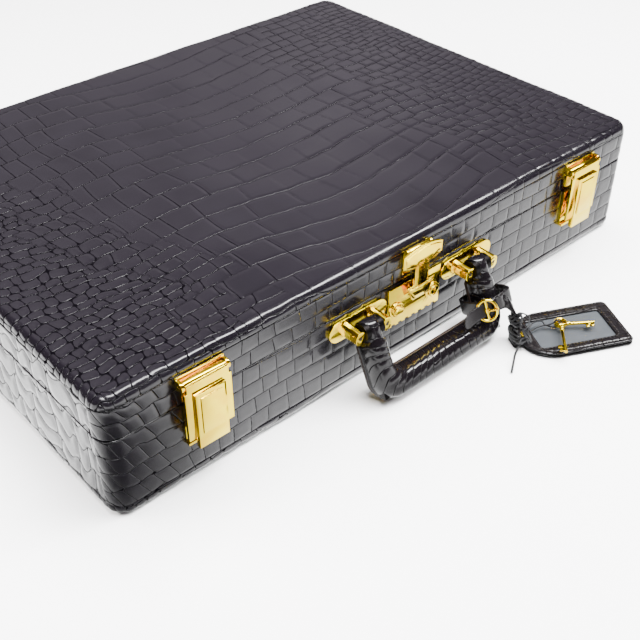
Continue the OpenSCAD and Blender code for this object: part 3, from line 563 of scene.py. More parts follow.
def front_pattern(s, z, low, row_height, seed):
    """Brick-like tiles, which lean and soften towards the left corner. low is the band's lower edge."""
    half = CASE_W / 2
    left = smooth(-s, half * 0.62, half * 0.98)
    lean = left * 0.55 * (z - low) + 1.5 * drift(s, z, seed, 60)
    wavy = z - low + 0.9 * drift(s, z, seed + 1, 90) + left * 1.3 * drift(s, z, seed + 2, 16)
    along, width = spread(s + lean, [(-half - 60, 8), (-half * 0.7, 10), (-half * 0.5, 14),
                                     (half * 0.8, 15), (half + 60, 13)])
    return tiles(along, wavy / row_height + 30, width, row_height, seed, 1.0, jitter=0.14, soft=0.7, run=1.3,
                 corner=0.8 + 1.6 * left)


def side_pattern(s, z, low, seed):
    """Large pointed scales."""
    wide, tall = 20.0, 15.5
    beyond = np.sign(s) * (np.abs(s) - SEAM_S)
    along = (beyond + 2.5 * drift(s, z, seed + 4, 60)) / wide
    rows = (z - low + 2.0 * drift(s, z, seed + 5, 70)) / tall + 0.19 * np.sin(2 * math.pi * along) + 60
    return tiles(along, rows, wide, tall, seed + 6, 1.0, jitter=0.2, soft=1.6, depth=0.6, run=2.2, corner=4.5)


def band_pattern(s, z, low, row_height, seed):
    """A side band: tiles on the front, pointed scales beyond the side seams."""
    front = np.abs(s) < SEAM_S
    both = zip(front_pattern(s, z, low, row_height, seed), side_pattern(s, z, low, seed))
    lift, hide, size = (np.where(front if tile.ndim == 2 else front[..., None], tile, scale)
                        for tile, scale in both)
    seam = np.abs(np.abs(s) - SEAM_S)
    groove = 0.55 * np.exp(-(seam / 0.9) ** 2)
    ridge = 0.2 * (front & (seam < 6)) * smooth(-seam, -6, -1)
    return lift - groove + ridge, hide, size


# ---- leather shells ----

def outline(count):
    """Points and outward normals round the case, and the distance from the middle of the front."""
    cx, cy = CASE_W / 2 - CORNER_R, CASE_D / 2 - CORNER_R
    arc = CORNER_R * math.pi / 2
    s = (np.arange(count) / count - 0.5) * 4 * (cx + cy + arc)
    front, side, back, end, middle = np.cumsum([cx, arc, 2 * cy, arc, cx])
    turn = np.interp(np.abs(s), [front, side, back, end], [-math.pi / 2, 0, 0, math.pi / 2])
    x = np.interp(np.abs(s), [0, front, end, middle], [0, cx, cx, 0]) + CORNER_R * np.cos(turn)
    y = np.interp(np.abs(s), [side, back], [-cy, cy]) + CORNER_R * np.sin(turn)
    hand = np.where(s < 0, -1.0, 1.0)
    return np.stack([x * hand, y], -1), np.stack([np.cos(turn) * hand, np.sin(turn)], -1), s


def side_band(name, node, body, lap_z, rim_z, row_height, seed):
    """The leather round the walls, from its lapped edge to the rim that it turns in over."""
    up = 1.0 if rim_z > lap_z else -1.0
    tall = abs(rim_z - lap_z)
    fold = 1.0
    wall = np.linspace(0.5, tall - fold, int(round((tall - fold) / FINE)))
    # each is (offset outward, distance from the lap, share of the relief)
    profile = [(-LAP_DEPTH, 0.0, 0.0)]
    profile += [(0.0, rise, 1.0) for rise in wall]
    profile += [(-fold * (1 - math.cos(a)), tall - fold + fold * math.sin(a), 0.4 * math.cos(a))
                for a in np.arange(1, 5) * math.pi / 8]
    profile += [(-4.0, tall, 0.0), (-RIM_IN, tall, 0.0), (-RIM_IN, tall - RIM_T, 0.0),
                (-LEATHER_T, tall - RIM_T, 0.0), (-LEATHER_T, 0.0, 0.0)]
    offset, rise, weight = np.array(profile).T
    at, normal, s = outline(int(round(2 * (CASE_W + CASE_D) / FINE)))
    s, z = np.broadcast_arrays(s[:, None], lap_z + up * rise)
    lift, hide, size = band_pattern(s, z, min(lap_z, rim_z), row_height, seed)
    out = (offset + lift * weight)[..., None]
    points = np.concatenate([at[:, None] + normal[:, None] * out, z[..., None]], -1)
    piece = new_piece(name, points, tube_faces(*s.shape, closed=True), HIDE)
    write_scales(piece, hide, size, weight < 0.3)
    show(piece, body, node)


def panel(name, node, body, face_z, lap_z, spacing, seed):
    """A panel's leather with its round edge, from the face to the lap line, and its flat underside."""
    up = 1.0 if face_z > lap_z else -1.0
    cx, cy = CASE_W / 2 - CORNER_R, CASE_D / 2 - CORNER_R
    flat = CORNER_R - EDGE_R
    quarter = EDGE_R * math.pi / 2
    reach = flat + quarter + abs(face_z - lap_z) - EDGE_R
    beyond = reach * np.arange(1, 15) / 14

    def lines(c):
        """The grid's lines in one direction: even as far as the corners' centres at c, then 14 more."""
        middle = np.linspace(-c, c, int(round(2 * c / spacing)) + 1)
        return np.concatenate([-c - beyond[::-1], middle, c + beyond])

    u, v = np.meshgrid(lines(cx), lines(cy), indexing="ij")
    a = np.clip(np.abs(u) - cx, 0, None)
    b = np.clip(np.abs(v) - cy, 0, None)
    rho = np.maximum(a, b)
    safe = np.where(rho > 0, rho, 1)
    turn = np.where(a >= b, math.pi / 4 * b / safe, math.pi / 2 - math.pi / 4 * a / safe)
    bend = np.clip((rho - flat) / EDGE_R, 0, math.pi / 2)
    radius = np.where(rho <= flat, rho, flat + EDGE_R * np.sin(bend))
    drop = EDGE_R * (1 - np.cos(bend)) + np.clip(rho - flat - quarter, 0, None)
    away_x, away_y = np.sign(u) * np.cos(turn), np.sign(v) * np.sin(turn)
    normal = np.stack([away_x * np.sin(bend), away_y * np.sin(bend), up * np.cos(bend)], -1)
    lift, hide, size = belly_pattern(u, v, seed)
    lift = lift + 0.20 * drift(u, v, seed + 8, 75)
    lift = np.where(reach - rho < 0.01, -LAP_DEPTH, lift * smooth(reach - rho, 0, 1.5))
    face = np.stack([np.clip(u, -cx, cx) + away_x * radius, np.clip(v, -cy, cy) + away_y * radius,
                     face_z - up * drop], -1)
    points = (face + normal * lift[..., None]).reshape(-1, 3)
    rim = border(*u.shape)
    inner = points[rim] - unit(normal.reshape(-1, 3)[rim] * [1, 1, 0]) * LEATHER_T
    under = inner * [1, 1, 0] + [0, 0, face_z - up * (EDGE_R - 1)]
    first = u.size + np.arange(len(rim))
    second = first + len(rim)
    faces = grid_faces(*u.shape).tolist() + wall_faces(rim, first) + wall_faces(first, second) + [second]
    piece = new_piece(name, np.concatenate([points, inner, under]), faces, HIDE)
    write_scales(piece, hide, size)
    show(piece, body, node)


panel("lid_top_leather", "lid_top_cover", "lid", CASE_H, LAP_HIGH, FINE, 11)
panel("base_bottom_leather", "base_bottom_cover", "base", 0.0, LAP_LOW, COARSE, 23)
side_band("lid_side_leather", "lid_side_cover", "lid", LAP_HIGH - 0.05, LID_BOTTOM, 10.5, 31)
side_band("base_side_leather", "base_side_cover", "base", LAP_LOW + 0.05, BASE_TOP, 12.4, 47)


# ---- the handle ----

def handle_space(x, s, t):
    """Points from the handle's own frame: x across, s along the leg and t outward."""
    x, s, t = np.broadcast_arrays(x, s, t)
    return np.stack([x, PIVOT[1] + s * LEG_DIR[1] + t * OUT_DIR[1],
                     PIVOT[2] + s * LEG_DIR[2] + t * OUT_DIR[2]], -1)


def handle_edge(side, end_s, radius):
    """The outer (side 1) or inner (side -1) edge of the handle, from post to post, as (x, s)."""
    x = LEG_X + side * LEG_W / 2
    eye_s = np.linspace(-7.0, EYE_END, 26, endpoint=False)
    eye_half = EYE_W + (LEG_W / 2 - EYE_W) * smooth(eye_s, 6.6, 9.6)
    leg_s = np.linspace(EYE_END, end_s - radius, 18, endpoint=False)
    turn = np.linspace(0, math.pi / 2, 24, endpoint=False)
    across = np.linspace(x - radius, 0, 42)
    half = np.concatenate([
        np.stack([LEG_X + side * eye_half, eye_s], -1),
        np.stack([x + 0 * leg_s, leg_s], -1),
        np.stack([x - radius * (1 - np.cos(turn)), end_s - radius * (1 - np.sin(turn))], -1),
        np.stack([across, end_s + 0 * across], -1)])
    return np.concatenate([half, half[-2::-1] * [-1, 1]])


def handle_profile():
    """The section: a padded dome over a flat stitched flange, as (share of half width, t)."""
    turn = np.linspace(-math.pi / 2, math.pi / 2, 33)
    side = np.sign(turn) * np.abs(np.sin(turn)) ** 0.85
    dome = np.stack([0.87 * side, -4.4 + 12.2 * np.cos(turn) ** 0.72], -1)
    flange = np.array([(0.89, -4.7), (0.925, -4.9), (0.935, -5.4), (0.935, -6.5), (0.92, -6.9), (0.86, -7.1),
                       (0.4, -7.1)])
    return np.concatenate([dome, flange, [(0.0, -7.1)], flange[::-1] * [-1, 1]]), len(dome)


def make_grip():
    """The padded leather, with its edge in bare leather. Returns its inner and outer edges."""
    inner, outer = handle_edge(-1, HANDLE_REACH - GRIP_W, 8.0), handle_edge(1, HANDLE_REACH, 17.0)
    profile, dome_count = handle_profile()
    length = distances((inner + outer) / 2)
    along = np.linspace(0, length[-1], 260)
    inner, outer = (np.stack([np.interp(along, length, edge[:, k]) for k in (0, 1)], -1)
                    for edge in (inner, outer))
    down = (inner[:, 1] + outer[:, 1]) / 2
    eye = np.sqrt(np.clip(1 - (np.clip(-down, 0, None) / EYE_R) ** 2, 0.03, 1))
    taper = (eye * (0.90 + 0.10 * smooth(down, 2, 11)))[:, None]
    share = ((profile[:, 0] + 1) / 2)[None, :, None]
    at = inner[:, None, :] * (1 - share) + outer[:, None, :] * share
    points = handle_space(at[..., 0], at[..., 1], profile[:, 1] * taper)
    rows, cols = points.shape[:2]

    pitch_around, pitch_along = 15.0, 6.2
    grip_row = 100                  # a row of points where the grip has its full section
    dome_middle = 20                # distance round the section to the top of the dome
    along, around = np.broadcast_arrays(along[:, None], distances(points[grip_row])[None, :])
    skew = along + 1.8 * drift(along, around, 5, 30) + 0.30 * np.abs(around - dome_middle)
    lift, hide, size = tiles((around + 1.5 * drift(along, around, 6, 30)) / pitch_around, skew / pitch_along,
                             pitch_around, pitch_along, 61, 0.5, jitter=0.3, soft=0.8, depth=0.20, run=1.6)
    on_dome = np.zeros(cols)
    on_dome[1:dome_count - 1] = 1
    normal = unit(np.cross(np.gradient(points, axis=1), np.gradient(points, axis=0)))
    facing = np.sign(np.sum(normal[rows // 2, dome_count // 2] * OUT_DIR))
    points = points + facing * normal * (lift * on_dome * taper)[..., None]
    piece = new_piece("handle_grip", points, tube_faces(rows, cols), GRIP_HIDE)
    write_scales(piece, hide, size, on_dome < 0.5)
    show(piece, "handle", "handle_leather")

    piece.data.materials.append(EDGE_LEATHER)
    edge_columns = {*range(dome_count + 1, dome_count + 4), *range(cols - 5, cols - 1)}
    for index, face in enumerate(piece.data.polygons):
        if index < rows * cols - cols and index % cols in edge_columns:
            face.material_index = 1
    return inner, outer


def stitch(a, b, radius, normal):
    """A slim rounded lozenge from a to b, as points and faces."""
    share = np.array([0.0, 0.15, 0.5, 0.85, 1.0])[:, None, None]
    fat = radius * np.array([0.35, 0.8, 1.0, 0.8, 0.35])[:, None, None]
    lift = radius * np.array([0.0, 0.35, 0.5, 0.35, 0.0])[:, None, None]
    turn = full_turn(6)[None, :, None]
    side = unit(np.cross(b - a, normal))
    points = a + (b - a) * share + normal * (lift + fat * np.sin(turn)) + side * fat * np.cos(turn)
    return points.reshape(-1, 3), tube_faces(5, 6)


def stitches(name, body, path, normals, pitch, radius, closed=False):
    """A row of stitches along a path."""
    if closed:
        path = np.concatenate([path, path[:1]])
        normals = np.concatenate([normals, normals[:1]])
    length = distances(path)

    def along(values, count):
        """The value at this many stitches from the start."""
        return np.array([np.interp(count * pitch, length, values[:, axis]) for axis in range(3)])

    parts = [stitch(along(path, k + 0.12), along(path, k + 0.80), radius, unit(along(normals, k + 0.5)))
             for k in range(int(length[-1] / pitch))]
    show(new_piece(name, *joined(parts), THREAD), body)


def make_handle():
    """The grip and the seam round its outer edge."""
    inner, outer = make_grip()
    sewn = inner[:, 1] > EYE_END + 0.5
    inner, outer = inner[sewn], outer[sewn]
    to_seam = 0.965             # share of the width, from the inner edge
    at = inner * (1 - to_seam) + outer * to_seam
    away = unit(outer - inner)
    normals = handle_space(away[:, 0], away[:, 1], 0) - handle_space(0, 0, 0)
    path = handle_space(at[:, 0], at[:, 1], -6.0) - 0.15 * normals
    stitches("handle_stitches", "handle", path, normals, 3.2, 0.38)


make_handle()


# ---- swept strips and cords ----

def spline(points, count):
    """A smooth curve through points."""
    p = np.asarray(points, float)
    p = np.concatenate([2 * p[:1] - p[1:2], p, 2 * p[-1:] - p[-2:-1]])
    spans = len(p) - 3
    at = np.linspace(0, spans, count)
    i = np.minimum(at.astype(int), spans - 1)
    t = (at - i)[:, None]
    a, b, c, d = (p[i + k] for k in range(4))
    return 0.5 * (2 * b + (c - a) * t + (2 * a - 5 * b + 4 * c - d) * t ** 2
                  + (3 * b - a - 3 * c + d) * t ** 3)


def cord(name, points, radius, count, sides=8, node=None):
    """A round cord along a curve, on the tag."""
    path = spline(points, count)
    tangent = unit(np.gradient(path, axis=0))
    normal = np.cross(tangent[0], [0.3, 0.2, 0.93])
    normals = []
    for direction in tangent:
        normal = unit(normal - direction * np.dot(normal, direction))
        normals.append(normal)
    normals = np.array(normals)
    turn = full_turn(sides)[None, :, None]
    ring = normals[:, None] * np.cos(turn) + np.cross(tangent, normals)[:, None] * np.sin(turn)
    fat = np.full((count, 1, 1), radius)
    fat[[0, -1]] *= 0.5
    piece = new_piece(name, path[:, None] + ring * fat, tube_faces(count, sides), CORD)
    show(piece, "tag", node)


def strip(name, path, across, widths, thick, seed, closed=False, node=None):
    """A flat leather strap on the tag: path is its middle, across the direction of its width."""
    path = np.asarray(path)
    across = unit(np.broadcast_to(across, path.shape))
    if closed:
        tangent = np.roll(path, -1, 0) - np.roll(path, 1, 0)
    else:
        tangent = np.gradient(path, axis=0)
    up = unit(np.cross(unit(tangent), across))
    share = np.linspace(-1, 1, 15)
    crown = thick * 0.5 * (1 - 0.45 * np.abs(share) ** 5)
    profile = np.concatenate([np.stack([share, crown], -1),
                              [[1.04, 0.1 * thick], [1.04, -0.3 * thick]],
                              np.stack([share[::-1], np.full(15, -thick / 2)], -1),
                              [[-1.04, -0.3 * thick], [-1.04, 0.1 * thick]]])
    on_top = np.zeros(len(profile))
    on_top[1:14] = 1
    half = np.broadcast_to(widths, len(path))[:, None] / 2
    wide = half * profile[None, :, 0]
    length = distances(path)[:, None] + 0 * wide
    wide_scale, long_scale = 4.6, 4.4
    wavy = length + 0.6 * drift(length, wide, seed, 15)
    lift, hide, size = tiles(wide / wide_scale + 0.5, wavy / long_scale, wide_scale, long_scale, seed, 0.9,
                             jitter=0.2, soft=0.5, depth=0.30, run=0.9)
    rise = profile[None, :, 1] + lift * on_top
    points = path[:, None] + across[:, None] * wide[..., None] + up[:, None] * rise[..., None]
    piece = new_piece(name, points, tube_faces(*wide.shape, closed=closed), TAG_LEATHER)
    write_scales(piece, hide, size, on_top < 0.5)
    show(piece, "tag", node)


# ---- the luggage tag ----

def turned(x, y, angle):
    """A point turned about the origin."""
    c, s = math.cos(angle), math.sin(angle)
    return x * c - y * s, x * s + y * c


def tag_space(x, y, z):
    """Points from the tag's own frame: x from the neck to the far edge, which is at 0."""
    x, y, z = np.broadcast_arrays(x, y, z)
    along, across = turned(x, y, TAG_TURN)
    return np.stack([TAG_FAR[0] + along, TAG_FAR[1] + across, z], -1)


def round_box(x, y, half_x, half_y, corner):
    """Signed distance to a rectangle with round corners, negative inside."""
    qx, qy = np.abs(x) - half_x + corner, np.abs(y) - half_y + corner
    return np.hypot(np.maximum(qx, 0), np.maximum(qy, 0)) + np.minimum(np.maximum(qx, qy), 0) - corner


def outside_tag(x, y):
    """Signed distance to the tag's outline: square at the far edge, round towards the neck."""
    half = TAG_W / 2
    body = TAG_L - 5 - half
    square = round_box(x + body / 2, y, body / 2, half, 4.0)
    round_end = np.hypot(x + body, y) - half
    neck = round_box(x + TAG_L - 8, y, 8, 6, 2)
    return np.minimum(np.minimum(square, round_end), neck)


def outside_window(x, y):
    """Signed distance to the window's outline."""
    return round_box(x - WINDOW_MID, y, WINDOW_L / 2, WINDOW_W / 2, 2)


def boundary(distance, count=360):
    """The curve where a distance is zero, found along rays from the middle of the window."""
    turn = full_turn(count)
    low, high = np.zeros(count), np.full(count, 90.0)
    for _ in range(40):
        mid = (low + high) / 2
        inside = distance(WINDOW_MID + mid * np.cos(turn), mid * np.sin(turn)) < 0
        low, high = np.where(inside, mid, low), np.where(inside, high, mid)
    return np.stack([WINDOW_MID + low * np.cos(turn), low * np.sin(turn)], -1)


SEAM_IN = 2.3           # from the tag's edge to its seam
WINDOW_SEAM_OUT = 1.8   # from the window's edge to its seam


def tag_layer(side, with_window, puff, seed):
    """One leather of the tag, its edges rounded and its face slightly padded."""
    z0, z1 = box_mm("tag_" + side)[:, 2]
    outer = boundary(outside_tag)
    if with_window:
        inner = boundary(outside_window)
        shares = np.concatenate([[0], np.linspace(0.012, 0.988, 26), [1]])
    else:
        inner = outer * 0 + [WINDOW_MID, 0]
        shares = np.linspace(0.02, 1, 26)
    shares = shares[:, None, None]
    x, y = np.moveaxis(inner[None] * (1 - shares) + outer[None] * shares, -1, 0)
    from_outline = -outside_tag(x, y)
    from_edge = from_outline
    if with_window:
        from_edge = np.minimum(from_edge, np.clip(outside_window(x, y), 0, None))
    round_off = (z1 - z0) * 0.55 * np.exp(-(np.clip(from_edge, 0, None) / 0.45))
    groove = 0.22 * np.exp(-((from_outline - SEAM_IN) / 0.55) ** 2)
    long_scale, wide_scale = 6.5, 5.2
    lift, hide, size = tiles((x + 1.2 * drift(x, y, seed, 26)) / long_scale,
                             (y + 1.0 * drift(x, y, seed + 1, 24)) / wide_scale,
                             long_scale, wide_scale, seed, 0.85, depth=0.22, run=1.0)
    calm = smooth(from_edge, 0.4, 1.2)
    top = z1 - round_off + puff * smooth(from_edge, 0, 4) + lift * calm * 0.8 - groove * calm

    rows, cols = x.shape
    sheet = grid_faces(rows, cols, False, True)
    first_ring = np.arange(cols)
    last_ring = first_ring + (rows - 1) * cols
    faces = sheet.tolist() + (sheet + x.size).tolist() + wall_faces(last_ring, last_ring + x.size)
    if with_window:
        faces += wall_faces(first_ring, first_ring + x.size)
    else:
        faces += [first_ring, first_ring + x.size]
    points = np.stack([tag_space(x, y, top), tag_space(x, y, z0)])
    piece = new_piece(f"tag_{side}_leather", points, faces, TAG_LEATHER)
    write_scales(piece, hide, size)
    show(piece, "tag", "tag_" + side)


def make_film():
    """The clear window: a thin sheet that bulges and ripples a little."""
    film_z = box_mm("tag_film")[0, 2]
    lap = 1.5
    x = np.linspace(-WINDOW_L / 2 - lap, WINDOW_L / 2 + lap, 40)[:, None]
    y = np.linspace(-WINDOW_W / 2 - lap, WINDOW_W / 2 + lap, 24)[None, :]
    x, y = np.broadcast_arrays(x, y)
    inside = np.clip(-outside_window(WINDOW_MID + x, y), 0, None)
    bulge = 0.6 * smooth(inside, 0.5, 9) + 0.12 * drift(x, y, 81, 30) * smooth(inside, 1, 6)
    points = np.stack([tag_space(WINDOW_MID + x, y, film_z + lift + bulge) for lift in (0.28, 0.02)])
    sheet = grid_faces(*x.shape)
    rim = border(*x.shape)
    faces = sheet.tolist() + (sheet + x.size).tolist() + wall_faces(rim, rim + x.size)
    show(new_piece("tag_window_film", points, faces, FILM), "tag", "tag_film")


def tag_seam(name, line, rise, radius):
    """A closed row of stitches where a distance is zero, standing this far above the front leather."""
    ring = boundary(line)
    path = tag_space(ring[:, 0], ring[:, 1], TAG_TOP + rise)
    stitches(name, "tag", path, np.tile([0.0, 0.0, 1.0], (len(ring), 1)), 2.6, radius, closed=True)


tag_layer("back", False, 0.0, 71)
tag_layer("front", True, 0.35, 73)
tag_seam("tag_stitches", lambda x, y: outside_tag(x, y) + SEAM_IN, 0.12, 0.27)
tag_seam("tag_window_stitches", lambda x, y: outside_window(x, y) - WINDOW_SEAM_OUT, 0.30, 0.25)
make_film()


# ---- the strap round the leg ----

LOOP_S = 24.5
STRAP_W = 10.0
BUCKLE_TURN = math.radians(135)     # round the leg, from +x towards the front
KEEPER_TURN = math.radians(118)


def loop_point(turn, layer, s=LOOP_S):
    """A point of the strap round the leg; layer is its distance beyond the first turn."""
    half_x, half_t, reach, sharp = 14.9, 11.9, 16.4, 12
    c, q = np.cos(turn), np.sin(turn)
    radius = (np.abs(c / half_x) ** sharp + np.abs(q / half_t) ** sharp + reach ** -sharp) ** (-1 / sharp)
    return handle_space(LEG_X + (radius + layer) * c, s, (radius + layer) * q)


def make_strap_tip():
    """The free end, over the loop, through the buckle and on beyond it to a round tip."""
    turn = np.linspace(math.radians(70), BUCKLE_TURN, 40)
    path = loop_point(turn, 1.75 * smooth(turn, math.radians(62), math.radians(92)))
    reach = np.linspace(0.4, 21, 34)[:, None]
    free = path[-1] + unit(path[-1] - path[-2]) * reach + (0.012 * OUT_DIR + 0.008 * LEG_DIR) * reach ** 2
    path = np.concatenate([path, free])
    tip = np.clip((np.arange(len(path)) - (len(path) - 11)) / 10.5, 0, 1)
    strip("strap_tip", path, -LEG_DIR, 8.6 * np.sqrt(1 - tip ** 2 * 0.97), 1.5, 97)


def make_strap_tail():
    """The tail from the loop down to the tag, and the cord's turns round it."""
    count = 110
    start = loop_point(math.radians(98), 1.0)
    front = loop_point(math.radians(74), 1.6, LOOP_S + 1.5)
    over = loop_point(math.radians(60), 3.0, LOOP_S + 8.5)
    near_neck = tag_space(-TAG_L + 2.0, 0, TAG_TOP + 1.9)
    middle = (over + near_neck) / 2 + [-1.0, -2.5, 0.5]
    neck = tag_space(-TAG_L + 10, 0, TAG_TOP + 1.0)
    curve = spline([start, front, over, middle, near_neck, neck], count)
    share = smooth(np.linspace(0, 1, count), 0.15, 0.72)[:, None]
    across = -LEG_DIR * (1 - share) + (tag_space(0, 1, 0) - tag_space(0, 0, 0)) * share
    strip("strap_tail", curve, across, 9.6 + 3.4 * share[:, 0], 1.6, 89)

    tangent = unit(np.gradient(curve, axis=0))
    across = unit(across - tangent * np.sum(across * tangent, axis=1, keepdims=True))
    up = np.cross(tangent, across)
    turns, per_turn = 5, 12
    half_w, half_t, stray = 7.4, 1.9, 0.6
    step = np.arange(turns * per_turn + 1)
    a = (step / per_turn * 2 * math.pi)[:, None]
    for name, first, last in (("cord_wrap_1", 52, 66), ("cord_wrap_2", 74, 90)):
        row = (first + (last - first) * step / (turns * per_turn)).astype(int)
        wrap = (curve[row] + across[row] * half_w * np.cos(a) + up[row] * half_t * np.sin(a)
                + tangent[row] * stray * np.sin(2.3 * step)[:, None])
        cord(name, wrap, 0.65, 300)


def make_keeper():
    """The small loop that holds the free end down before the buckle."""
    at = loop_point(KEEPER_TURN, 1.2)
    ahead = unit(loop_point(KEEPER_TURN + 0.05, 1.2) - at)
    up = np.cross(ahead, LEG_DIR)
    half_w, half_t = 5.9, 2.6
    a = full_turn(28)[:, None]
    ring = at + LEG_DIR * half_w * np.cos(a) + up * half_t * np.sin(a)
    strip("strap_keeper", ring, ahead, 3.2, 0.9, 101, closed=True)


strip("strap_loop", loop_point(full_turn(220), 0.0), -LEG_DIR, STRAP_W - 0.3, 1.7, 83, closed=True,
      node="tag_strap")
make_strap_tip()
make_strap_tail()
make_keeper()


# ---- the cord and the keys ----

def make_cords():
    """The coil round the tag's neck, the run to the keys, two loose loops and two ends."""
    neck = -TAG_L + 8.5
    top = TAG_TOP + 2.5
    per_turn = 14
    step = np.arange(4 * per_turn + 1)
    a = step / per_turn * 2 * math.pi
    coil = tag_space(neck + 0.9 * step / per_turn + 0.5 * np.sin(step), 7.2 * np.cos(a),
                     TAG_TOP - 0.4 + 2.9 * np.sin(a))
    cord("cord_coil", coil, 0.70, 420, 10, "key_cord")
    kx, ky = turned(*(KEY_AT - TAG_FAR), -TAG_TURN)
    lines = {
        "cord_to_keys": [(neck + 4, 2, top), (neck + 9, 6, top + 2.5), (neck + 17, 9, top + 0.4),
                         (kx - 9, ky + 3, top - 1), (kx - 3, ky, top - 1.55), (kx, ky, top + 0.9),
                         (kx - 2.2, ky + 0.6, top + 3.8), (kx - 6.5, ky + 1, top + 0.9),
                         (neck + 14, 5, top - 0.6), (neck + 5, 1, top)],
        "cord_loop_high": [(neck + 1, 5, top), (neck - 3, 10, top + 4), (neck + 3, 15, top + 5.5),
                           (neck + 9, 12, top + 3), (neck + 6, 6, top + 0.6), (neck + 2, 3, top)],
        "cord_loop_low": [(neck + 1, -5, top), (neck - 5, -8, top + 3), (neck - 8, -11, top + 1.5),
                          (neck - 3, -9, top + 1), (neck + 1, -4, top)],
        "cord_end": [(neck + 1, -4, top), (neck - 5, -8, 6.5), (neck - 12, -15, 5.0), (neck - 17, -23, 2.2),
                     (neck - 20, -28, 0.9)],
        "cord_end_short": [(neck + 1, 4, top), (neck - 5, 2, top + 5), (neck - 9, -3, top + 7.5)],
    }
    for name, points in lines.items():
        radius = 0.8 if name == "cord_end" else 0.55
        cord(name, [tag_space(*point) for point in points], radius, 110)


def ring_shape(radius, tube, centre_z, count=40, sides=12):
    """A flat ring, as points and faces."""
    a, b = np.meshgrid(full_turn(count), full_turn(sides), indexing="ij")
    r = radius + tube * np.cos(b)
    points = np.stack([r * np.cos(a), r * np.sin(a), centre_z + tube * np.sin(b)], -1)
    return points.reshape(-1, 3), tube_faces(count, sides, closed=True)


def bar_shape(a, b, radius_a, radius_b, sides=16):
    """A round bar with soft ends between two points, as points and faces."""
    a, b = np.asarray(a, float), np.asarray(b, float)
    length = np.linalg.norm(b - a)
    along = (b - a) / length
    side = np.cross(along, [0, 0, 1.0])
    side = unit(side) if np.linalg.norm(side) > 1e-6 else np.array([1.0, 0, 0])
    up = np.cross(side, along)
    at = np.array([0, 0.15, 0.4, length - 0.4, length - 0.15, length])[:, None, None]
    share = np.array([0.6, 0.9, 1.0, 1.0, 0.9, 0.6])[:, None, None]
    radius = (radius_a + (radius_b - radius_a) * at / length) * share
    turn = full_turn(sides)[None, :, None]
    points = a + along * at + radius * (side * np.cos(turn) + up * np.sin(turn))
    return points.reshape(-1, 3), tube_faces(len(at), sides)


def plate_shape(x0, x1, y0, y1, half_z, edge=0.2):
    """A small plate with softened edges, as points and faces."""
    points = []
    for inset, z in ((edge, -half_z), (0, edge - half_z), (0, half_z - edge), (edge, half_z)):
        points += [(x0 + inset, y0 + inset, z), (x1 - inset, y0 + inset, z),
                   (x1 - inset, y1 - inset, z), (x0 + inset, y1 - inset, z)]
    return np.array(points), tube_faces(4, 4)


def make_key(node, turn_deg, length):
    """A small key: ring bow, collar, round shank and a notched bit."""
    bow_r = 3.3
    points, faces = joined([
        ring_shape(bow_r, 1.05, 0), ring_shape(bow_r, 0.7, 0.45),
        bar_shape((4.0, 0, 0), (6.8, 0, 0), 1.6, 1.4), bar_shape((6.2, 0, 0), (length, 0, 0), 1.15, 1.05),
        bar_shape((8.2, 0, 0), (9.2, 0, 0), 1.5, 1.5),
        plate_shape(length - 6.4, length - 4.2, -4.4, 0.2, 0.6),
        plate_shape(length - 3.4, length - 0.8, -3.7, 0.2, 0.6),
        plate_shape(length - 6.4, length - 0.8, -2.2, 0.2, 0.6)])
    x, y = turned(points[:, 0], points[:, 1], math.radians(turn_deg))
    z = box_mm(node)[0, 2] + 0.9 + points[:, 2]
    piece = new_piece(node + "_gilt", np.stack([KEY_AT[0] + x, KEY_AT[1] + y, z], -1), faces, GILT)
    show(piece, node, node)


make_cords()
make_key("key_a", -38, 23)
make_key("key_b", -136, 31)


# ---- fittings: the CAD shapes with rounded edges ----

BODY_OF = {node: body for body, nodes in frame["record"]["behaviour"]["bodies"].items() for node in nodes}


def soften(node, width, material, segments=2):
    """Shows a CAD node as a copy whose sharp edges are rounded."""
    mesh = frame["nodes"][node].data.copy()
    bm = bmesh.new()
    bm.from_mesh(mesh)
    bmesh.ops.remove_doubles(bm, verts=bm.verts, dist=0.002 * MM)
    bmesh.ops.dissolve_limit(bm, angle_limit=math.radians(0.6), verts=bm.verts, edges=bm.edges)
    bmesh.ops.recalc_face_normals(bm, faces=bm.faces)
    bm.to_mesh(mesh)
    bm.free()
    mesh.materials.clear()
    mesh.materials.append(material)
    mesh.shade_smooth()
    piece = add_object(node + "_soft", mesh)
    bevel = piece.modifiers.new("round", "BEVEL")
    bevel.width = width * MM
    bevel.segments = segments
    bevel.limit_method = "ANGLE"
    bevel.angle_limit = math.radians(38)
    bevel.harden_normals = True
    bevel.use_clamp_overlap = True
    show(piece, BODY_OF[node], node)


GILT_EDGES = {
    0.15: ["hasp_bracket"],
    0.25: ["latch_brackets", "latch_catches", "lock_plate", "hinge_base_leaves", "hinge_lid_leaves"],
    0.30: ["hasp", "lock_cylinder"],
    0.35: ["latch_leaf_left", "latch_leaf_right", "rear_studs"],
    0.40: ["lock_button"],
    0.45: ["handle_mounts"],
}
for width, nodes in GILT_EDGES.items():
    for node in nodes:
        soften(node, width, GILT)
soften("card_decks", 0.8, CARD_BOX, 3)
soften("dice", 1.8, IVORY, 4)
soften("dealer_button", 0.8, IVORY, 3)


# ---- inside: pad, pips and the materials of the nodes that stay ----

